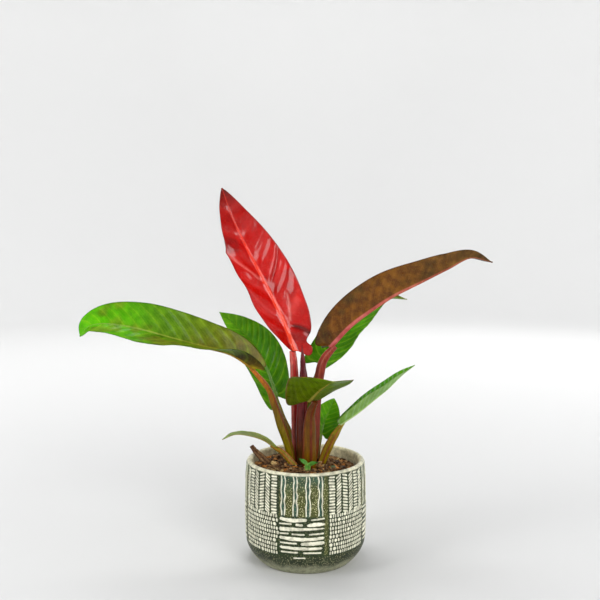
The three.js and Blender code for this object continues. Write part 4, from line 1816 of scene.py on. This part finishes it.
# ---- The nine leaves ----


@dataclass
class Leaf:
    """One leaf: a blade and the stalk that carries it."""

    name: str
    blade: BladeShape
    colours: BladePaint
    stalk: StalkShape
    seed: int
    blade_slot: Slot = Slot.GREEN_BLADE
    stalk_slot: Slot = Slot.OLIVE_STALK
    blade_finish: str = "green_gloss"
    stalk_finish: str = "olive_skin"

    def full_stalk(self) -> StalkShape:
        """Lead the stalk's end under the blade's midrib.

        Returns:
            The stalk's shape.
        """
        start = np.zeros(1)
        base = curve(self.blade.midrib, start)[0]
        tangent = heading(self.blade.midrib, start)[0]
        face = np.asarray(self.blade.face[0], float)
        normal = unit(face - (face @ tangent) * tangent)
        below = self.stalk.width[-1] * STALK_FLATNESS / 2
        end = base - normal * below + tangent * STALK_UNDER_BLADE
        return replace(self.stalk, route=[*self.stalk.route[:-1], tuple(end)])

    def build(self, crown: float, finishes: dict[str, Material]) -> None:
        """Build the blade and the stalk.

        Args:
            crown: Height of the crown in millimetres.
            finishes: Materials by name.
        """
        stalk = Stalk(f"{self.name}_petiole", self.full_stalk(), crown, seed=self.seed)
        stalk.build(finishes[self.stalk_finish], self.stalk_slot, f"{self.name}_stalk")
        blade = Blade(f"{self.name}_lamina", self.blade, self.colours, crown, self.seed)
        blade.build(finishes[self.blade_finish], self.blade_slot, f"{self.name}_blade")


GREEN_RUN = stops((0, 66, 124, 2), (0.5, 78, 152, 4), (1, 98, 162, 12))
GREEN_UNDER = both(paint(116, 160, 70), paint(124, 170, 76))
GREEN_RIB = both(paint(92, 132, 20), paint(96, 160, 36))
OLIVE_EDGE = both(paint(130, 60, 30), paint(150, 100, 40))


GREEN_PAINT = BladePaint(
    left=GREEN_RUN, right=GREEN_RUN, under=GREEN_UNDER, rib=GREEN_RIB, under_rib=GREEN_RIB,
    vein=paint(140, 190, 40), margin=paint(104, 110, 40), vein_share=0.45,
    margin_share=0.35)


def red_leaf() -> Leaf:
    """Describe the tall red leaf at the middle.

    Returns:
        The leaf.
    """
    blade = BladeShape(
        midrib=[(-12, 10, 119), (-28, 15, 159), (-47, 22, 198), (-66, 30, 235), (-82, 37, 269),
                (-95, 44, 305)],
        face=[(0.25, -1, 0.15), (0.3, -1, 0.1), (0.2, -1, 0.1)], half=(31, 35),
        fold=([30, 25, 20, 15], [15, 10, 10, 10]), widest=0.38, taper=0.8, lobe=(-3, 22),
        pleat_pitch=35.0, pleat_height=3.8, pillowed=1.0, vein_rake=0.5, wave=1.8, waves=2.5, rib_width=3.3,
        rib_height=1.5, under_rib=1.6,
        creases=(
            # Pale pink along both left-hand folds: the veins' own pink, made paler as painted highlight.
            Crease(Half.LEFT, (1.0, 0.72), (0.06, 0.4), 6.0, -1.6, 1.6, paint(236, 120, 112), 0.6),
            Crease(Half.LEFT, (0.9, 0.38), (0.12, 0.2), 3.0, -1.0, 1.5, paint(214, 84, 84), 0.3),
            Crease(Half.LEFT, (0.6, 0.64), (0.4, 0.4), 0.0, 1.5, 4.5),
            # Painted shade: a dark red band down this fold.
            Crease(Half.RIGHT, (0.98, 0.55), (0.2, 0.38), 2.0, -1.6, 1.5, paint(120, 8, 16), 0.35),
            # Painted highlights: pink on this swelling and pale pink on the short fold by the midrib.
            Crease(Half.RIGHT, (0.8, 0.27), (0.2, 0.2), 1.0, 1.8, 4.0, paint(226, 90, 84), 0.3),
            Crease(Half.RIGHT, (0.5, 0.3), (0.2, 0.16), 1.0, -1.4, 1.0, paint(240, 150, 140), 0.5),
            # Painted shade: near-black red deep in the fold of the basal lobe.
            Crease(Half.RIGHT, (1.02, 0.12), (0.2, 0.14), -1.5, -3.0, 1.6, paint(60, 5, 10), 0.9),
        ),
        notches=(Notch(Half.RIGHT, 0.115, 0.3, 0.02), Notch(Half.RIGHT, 0.2, -0.05, 0.05)))
    red = stops((0, 166, 14, 10), (0.25, 190, 16, 12), (0.6, 182, 12, 9),
                (0.9, 150, 14, 10), (1, 74, 22, 14))
    colours = BladePaint(
        left=red, right=red,
        under=both(paint(150, 44, 40), paint(126, 30, 30)),
        rib=stops((0, 236, 74, 40), (0.6, 226, 52, 30), (1, 160, 34, 24)),
        under_rib=both(paint(206, 84, 70)), vein=paint(226, 84, 78), margin=paint(104, 8, 14),
        vein_share=0.12, margin_share=0.55, blotch=paint(120, 4, 10), blotch_share=0.6)
    stalk = StalkShape(
        route=[(-9, 7, 0), (-10, 8, 25), (-11, 9, 63), (-12, 9, 90), (-13, 10, 110), (-12, 10, 119)],
        width=[11, 10.5, 10, 9.5, 8.5, 7],
        body=stops((0, 120, 40, 20), (0.3, 150, 24, 28), (0.7, 198, 48, 48), (1, 222, 62, 50)),
        edge=stops((0, 160, 80, 60), (1, 226, 120, 110)), channel_at=80.0, channel_depth=(0.4, 0.3))
    return Leaf("red_leaf", blade, colours, stalk, 3, Slot.RED_BLADE, Slot.RED_STALK, "red_gloss", "red_skin")


def bronze_leaf() -> Leaf:
    """Describe the bronze leaf that arches out to the right and shows its underside.

    Returns:
        The leaf.
    """
    blade = BladeShape(
        midrib=[(27, 2, 128), (48, 0, 151), (71, -2, 169), (95, -4, 185), (124, -7, 200), (153, -10, 215),
                (177, -12, 227), (200, -14, 222)],
        face=[(-0.5, 0.55, 0.75), (-0.4, 0.6, 0.75), (-0.3, 0.6, 0.75)], half=(31, 31),
        fold=([55, 50, 40, 15], [50, 45, 35, 15]), widest=0.3, taper=1.0, lobe=(20, 20),
        pleat_pitch=11.0, pleat_height=0.7, wave=0.9, waves=3.0, rib_width=2.2, under_rib=2.2)
    upper = stops((0, 70, 74, 22), (0.5, 86, 84, 26), (1, 96, 70, 28))
    under = stops((0, 98, 56, 14), (0.35, 118, 72, 18), (0.8, 108, 74, 30), (1, 76, 52, 34))
    colours = BladePaint(
        left=upper, right=upper, under=under, rib=both(paint(160, 120, 60)),
        under_rib=stops((0, 188, 92, 92), (0.6, 172, 96, 76), (1, 120, 70, 40)),
        vein=paint(172, 116, 58), margin=paint(70, 44, 22), vein_share=0.22, margin_share=0.6,
        blotch=paint(66, 50, 20), blotch_share=0.75)
    stalk = StalkShape(
        route=[(7, 3, 0), (10, 3, 19), (11.5, 2, 64), (15.7, 2, 100), (20.7, 2, 116), (27, 2, 128)],
        width=[10, 10.5, 10.5, 10.5, 9.5, 7],
        body=stops((0, 104, 64, 16), (0.3, 112, 42, 28), (0.7, 140, 52, 42), (1, 156, 66, 54)),
        edge=stops((0, 130, 74, 40), (1, 176, 92, 80)), channel_at=150.0, channel_depth=(0.35, 0.3))
    return Leaf("bronze_leaf", blade, colours, stalk, 5, Slot.BRONZE_BLADE, Slot.RED_STALK, "bronze_gloss",
                "red_skin")


def left_leaf() -> Leaf:
    """Describe the long leaf to the left: olive at its base, bright green at its tip.

    Returns:
        The leaf.
    """
    blade = BladeShape(
        midrib=[(-54, -14, 107), (-79, -16, 124), (-112, -18, 133), (-141, -20, 141), (-175, -22, 151),
                (-207, -24, 157), (-229, -25, 155), (-240, -26, 144)],
        face=[(0.2, -0.45, 0.9), (0, -0.6, 0.8), (0, -0.5, 0.85)], half=(27, 31),
        fold=([76, 28, 6, 12], [28, 32, 30, 20]), widest=0.45, taper=0.8, lobe=(20, 20),
        pleat_pitch=13.0, pleat_height=0.8, wave=1.8, waves=3.5, rib_width=1.6, under_rib=1.8)
    run_up = stops((0, 112, 100, 26), (0.2, 108, 116, 26), (0.42, 94, 130, 24),
                   (0.58, 84, 146, 20), (0.75, 92, 176, 16), (1, 96, 178, 24))
    # The underside runs nearly black just above the base: painted shade, darker than the leaf's own olive.
    under = stops((0, 176, 156, 30), (0.03, 90, 72, 12), (0.1, 54, 46, 2), (0.22, 98, 138, 8),
                  (0.5, 124, 178, 40), (1, 112, 160, 50))
    colours = BladePaint(
        left=run_up, right=run_up, under=under,
        rib=stops((0, 140, 120, 40), (0.5, 140, 160, 60), (1, 110, 170, 60)),
        under_rib=stops((0, 150, 110, 40), (1, 130, 160, 70)),
        vein=paint(160, 196, 44), margin=paint(44, 76, 20), vein_share=0.22, margin_share=0.5,
        blotch=paint(118, 96, 40), blotch_share=0.5)
    stalk = StalkShape(
        route=[(-14, -6, 0), (-17, -6, 17), (-25, -8, 43), (-33, -9, 66), (-41, -11, 86), (-54, -14, 107)],
        width=[8, 11, 13, 10, 7, 5],
        body=stops((0, 136, 118, 10), (0.3, 112, 98, 6), (0.6, 110, 80, 10),
                   (0.8, 150, 92, 16), (1, 192, 106, 28)),
        edge=stops((0, 120, 70, 30), (0.4, 92, 22, 20), (1, 160, 70, 28)),
        channel_at=8.0, channel_depth=(0.55, 0.25), channel_width=48.0)
    return Leaf("left_leaf", blade, colours, stalk, 7, blade_finish="green_satin")


def back_leaves() -> list[Leaf]:
    """Describe the three green leaves behind.

    Returns:
        The leaves.
    """
    stem = stops((0, 120, 112, 40), (0.5, 96, 120, 40), (1, 110, 150, 60))
    browned = [*GREEN_RUN[:2], *stops((0.8, 70, 104, 20), (0.95, 84, 74, 26), (1, 170, 110, 40))]
    left = BladeShape(
        midrib=[(-33, 36, 65), (-43, 42, 93), (-57, 48, 121), (-77, 54, 143), (-100, 60, 162)],
        face=[(0.2, -1, 0.3), (0.3, -1, 0.5), (0.3, -1, 0.7)], half=(26, 26), fold=([15, 15], [15, 15]),
        widest=0.42, taper=0.9, lobe=(20, 12), pleat_pitch=10.0, pleat_height=1.0, wave=1.0, waves=2.5,
        rib_width=1.6)
    right = BladeShape(
        midrib=[(14, 30, 106), (34, 40, 125), (56, 52, 151), (88, 68, 177), (122, 84, 175)],
        face=[(-0.4, -0.9, 0.6), (-0.3, -0.8, 0.8), (0, -0.5, 1)], half=(26, 26), fold=([15, 15], [15, 15]),
        widest=0.38, taper=1.0, lobe=(17, 17), pleat_pitch=10.0, pleat_height=1.0, wave=1.0, waves=2.5,
        rib_width=1.6)
    small = BladeShape(
        midrib=[(18, 28, 25), (21, 31, 38), (27, 33, 51), (33, 36, 65)],
        face=[(0.1, -1, 0.2), (0, -1, 0.2)], half=(17, 17), fold=([12, 12], [12, 12]), widest=0.42, taper=0.8,
        lobe=(7, 7), pleat_pitch=6.0, pleat_height=0.5, wave=0.6, waves=2.0, rib_width=1.0, rows=100,
        columns=24)
    return [
        Leaf("back_left_leaf", left, GREEN_PAINT, StalkShape(
            route=[(-8, 17, 0), (-17, 22, 25), (-27, 30, 47), (-33, 36, 65)], width=[9, 8, 6.5, 4.5],
            body=stem, edge=OLIVE_EDGE), 11),
        Leaf("back_right_leaf", right, replace(GREEN_PAINT, left=browned, right=browned), StalkShape(
            route=[(3, 13, 0), (2, 18, 35), (6, 24, 70), (14, 30, 106)], width=[9, 8, 6.5, 4.5], body=stem,
            edge=OLIVE_EDGE), 13),
        Leaf("small_back_leaf", small, GREEN_PAINT, StalkShape(
            route=[(13, 14, 0), (15, 21, 13), (18, 28, 25)], width=[6.5, 5, 3.5], body=stem, edge=OLIVE_EDGE,
            rows=50, columns=28), 17),
    ]


def front_leaves() -> list[Leaf]:
    """Describe the front, right and small left leaves.

    Returns:
        The leaves.
    """
    front = BladeShape(
        midrib=[(8, -25, 73), (13, -36, 81), (20, -50, 91), (27, -63, 99), (32, -75, 104)],
        face=[(-0.35, 0.75, 1), (-0.3, 0.7, 1), (-0.2, 0.6, 1)], half=(36, 38), fold=([5, -1], [20, 10]),
        widest=0.55, taper=0.42, lobe=(12, 30), pleat_pitch=8.0, pleat_height=0.7, wave=0.9, waves=2.0,
        rib_width=1.6, rows=120)
    right = BladeShape(
        midrib=[(37, 8, 42), (56, 10, 54), (73, 11, 67), (91, 12, 81), (106, 13, 95), (122, 14, 107)],
        face=[(-0.6, -0.35, 0.7), (-0.6, -0.35, 0.7), (-0.6, -0.4, 0.6)], half=(12, 16),
        fold=([45, 45, 40, 30], [65, 60, 50, 30]), widest=0.35, taper=0.9, lobe=(7, 7), pleat_pitch=7.0,
        pleat_height=0.16, wave=0.2, waves=2.0, rib_width=1.1, under_rib=1.2, rows=120)
    small = BladeShape(
        midrib=[(-33, -10, 21), (-45, -8, 28), (-60, -6, 32), (-77, -4, 33), (-92, -2, 27)],
        face=[(0.2, 0.3, 1), (0, 0.25, 1), (-0.1, 0.25, 1)], half=(11, 11), fold=([15, 15], [15, 15]),
        widest=0.4, taper=0.9, lobe=(5, 5), pleat_pitch=6.0, pleat_height=0.3, wave=0.5, waves=2.0,
        rib_width=0.9, under_rib=1.0, rows=110, columns=22)
    olive = stops((0, 76, 96, 4), (0.4, 96, 134, 6), (1, 112, 142, 12))
    front_paint = replace(
        GREEN_PAINT, left=olive, right=olive, under=stops((0, 84, 100, 4), (1, 92, 128, 8)),
        rib=both(paint(150, 140, 50)), under_rib=both(paint(150, 140, 60)),
        vein=paint(134, 152, 50), margin=paint(120, 50, 30), margin_share=0.7)
    silver = stops((0, 110, 150, 56), (0.3, 128, 168, 84), (1, 132, 172, 92))
    right_paint = replace(GREEN_PAINT, under=silver, under_rib=both(paint(170, 190, 130)),
                          vein=paint(176, 198, 170))
    small_paint = replace(
        GREEN_PAINT, under=both(paint(150, 150, 84), paint(140, 160, 100)),
        under_rib=both(paint(170, 150, 90)), margin=paint(126, 90, 40))
    return [
        Leaf("front_leaf", front, front_paint, StalkShape(
            route=[(4, -15, 0), (4, -16, 37), (5, -20, 59), (8, -25, 73)], width=[15, 14, 10, 6],
            body=stops((0, 110, 78, 6), (0.5, 104, 66, 8), (1, 96, 50, 14)),
            edge=both(paint(104, 36, 22)), channel_at=120.0, channel_depth=(0.35, 0.2)), 19),
        Leaf("right_leaf", right, right_paint, StalkShape(
            route=[(18, 2, 0), (24, 4, 14), (31, 6, 27), (37, 8, 42)], width=[9, 10, 9, 4.5],
            body=stops((0, 140, 118, 14), (0.6, 136, 108, 10), (1, 140, 140, 40)),
            edge=both(paint(116, 40, 26), paint(150, 90, 30)), channel_at=135.0, channel_depth=(0.5, 0.4),
            channel_width=46.0), 23),
        Leaf("small_left_leaf", small, small_paint, StalkShape(
            route=[(-11.6, -14.4, 0), (-18.6, -13.8, 8.4), (-26, -12, 15.4), (-33, -10, 21)],
            width=[8, 7, 6, 4],
            body=stops((0, 146, 126, 16), (0.6, 132, 112, 10), (1, 116, 120, 30)),
            edge=both(paint(160, 80, 40)), channel_at=60.0, channel_depth=(0.45, 0.35)), 29),
    ]


# ---- Studio ----


@dataclass(frozen=True)
class Softbox:
    """A soft rectangular light, aimed at the plant or at a place of its own."""

    name: str
    place: Point
    size: tuple[float, float]
    power: float
    aim: Point | None = None

    def build(self, target: Array) -> None:
        """Add the light.

        Args:
            target: What it faces, if it has no aim of its own.
        """
        light = bpy.data.lights.new(self.name, "AREA")
        light.shape = "RECTANGLE"
        light.size, light.size_y = self.size
        light.energy = self.power
        lamp = bpy.data.objects.new(self.name, light)
        lamp.location = self.place
        aim = target if self.aim is None else self.aim
        direction = Vector(np.asarray(aim, float) - np.asarray(self.place))
        lamp.rotation_euler = direction.to_track_quat("-Z", "Y").to_euler()
        bpy.context.scene.collection.objects.link(lamp)


@dataclass
class Studio:
    """Pale floor, pale surroundings, soft lights and the camera."""

    lens: float = 48.0
    camera_place: Point = (-0.00615, -0.8712, 0.3496)
    tilt: float = 85.81
    floor_radius: float = 4.2
    floor_bend: float = 1.6
    wall_height: float = 3.0
    floor_gap: float = 0.0004
    surroundings: float = 0.3
    boxes: tuple[Softbox, ...] = (
        Softbox("key_softbox", (1.1, -1.9, 1.15), (1.1, 1.5), 32.0),
        Softbox("left_softbox", (-1.8, -0.9, 1.3), (0.8, 1.2), 16.0),
        Softbox("top_softbox", (-0.2, 0.5, 2.1), (1.0, 0.8), 18.0),
        Softbox("back_softbox", (0.9, 2.0, 1.3), (1.6, 1.2), 8.0),
        Softbox("north_wall_softbox", (0.0, 1.3, 2.3), (2.6, 1.0), 58.0, (0.0, 4.4, 0.7)),
        Softbox("east_wall_softbox", (1.3, 0.0, 2.3), (2.6, 1.0), 58.0, (4.4, 0.0, 0.7)),
        Softbox("south_wall_softbox", (0.0, -1.3, 2.3), (2.6, 1.0), 58.0, (0.0, -4.4, 0.7)),
        Softbox("west_wall_softbox", (-1.3, 0.0, 2.3), (2.6, 1.0), 58.0, (-4.4, 0.0, 0.7)),
    )

    def floor(self) -> None:
        """Lay the pale floor, which bends up into a wall all round."""
        surface = Surface()
        sides = 128
        theta = np.linspace(0, TURN, sides, endpoint=False)
        turn = np.linspace(0.0, math.pi / 2, 25)
        level = [0.02, 0.2, 0.8, 1.6]
        bend = self.floor_radius - self.floor_bend + self.floor_bend * np.sin(turn)
        radius = np.concatenate([level, bend, [self.floor_radius]])
        rise = self.floor_bend * (1 - np.cos(turn))
        height = np.concatenate([np.zeros(len(level)), rise, [self.wall_height]]) - self.floor_gap
        rings = side_points(radius[:, None], theta, height[:, None]) / MM
        centre = np.array([[0.0, 0.0, -self.floor_gap / MM]])
        around = np.arange(sides)
        fan = np.stack([around, (around + 1) % sides, np.full(sides, len(radius) * sides)], axis=-1)
        surface.add(np.concatenate([rings.reshape(-1, 3), centre]),
                    grid_faces(len(radius), sides, wrap=True, flip=True), fan[:, ::-1])
        floor = surface.build("studio_sweep")
        shading = Shading("pale_sweep")
        shading.set(Base_Color=(0.66, 0.66, 0.655), Roughness=0.7, Specular_IOR_Level=0.2)
        floor.data.materials.append(shading.material)

    def world(self) -> None:
        """Surround the scene with pale light."""
        world = bpy.data.worlds.new("pale_surroundings")
        world.use_nodes = True
        background = world.node_tree.nodes["Background"]
        background.inputs["Color"].default_value = (0.93, 0.95, 1.0, 1.0)
        background.inputs["Strength"].default_value = self.surroundings
        bpy.context.scene.world = world

    def camera(self) -> None:
        """Stand the camera in front, a little above the pot's rim."""
        data = bpy.data.cameras.new("front_camera")
        data.lens = self.lens
        data.sensor_width = 36.0
        camera = bpy.data.objects.new("front_camera", data)
        camera.location = self.camera_place
        camera.rotation_euler = (math.radians(self.tilt), 0.0, 0.0)
        bpy.context.scene.collection.objects.link(camera)
        bpy.context.scene.camera = camera

    def build(self) -> None:
        """Set up the whole studio."""
        self.floor()
        self.world()
        self.camera()
        low, high = CAD_BOX
        target = (np.asarray(low, float) + np.asarray(high, float)) / 2
        for box in self.boxes:
            box.build(target)
        bpy.context.scene.view_settings.view_transform = "Standard"
        bpy.context.scene.view_settings.look = "None"


def main() -> None:
    """Build everything in order."""
    logging.basicConfig(level=logging.INFO, format="%(name)s: %(message)s")
    Studio().build()
    Pot().build()
    SoilBed().build()
    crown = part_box("stem_with_roots")[1].z / MM
    Rootstock(crown).build()
    finishes = {finish.name: finish.material() for finish in (
        LeafFinish("red_gloss", 0.24, 0.42, 0.09, 0.12, 0.25, 0.06, 0.02),
        LeafFinish("bronze_gloss", 0.34, 0.2, 0.16, 0.08, 0.6, 0.12, 0.08),
        LeafFinish("green_gloss", 0.34, 0.22, 0.12, 0.05, 0.45, 0.12, 0.3),
        LeafFinish("green_satin", 0.34, 0.12, 0.14, 0.03, 0.5, 0.14, 0.2),
        StalkFinish("red_skin"),
        StalkFinish("olive_skin", 0.36, 0.18),
        StalkFinish("maroon_skin", 0.3, 0.3, 0.35),
    )}
    for leaf in [red_leaf(), bronze_leaf(), left_leaf(), *back_leaves(), *front_leaves()]:
        leaf.build(crown, finishes)
    growth = SmallGrowth(crown)
    growth.rolled_leaf(finishes["maroon_skin"])
    growth.dried_stalk()
    growth.sprout()
    growth.leaflet()


if __name__ == "__main__":
    main()
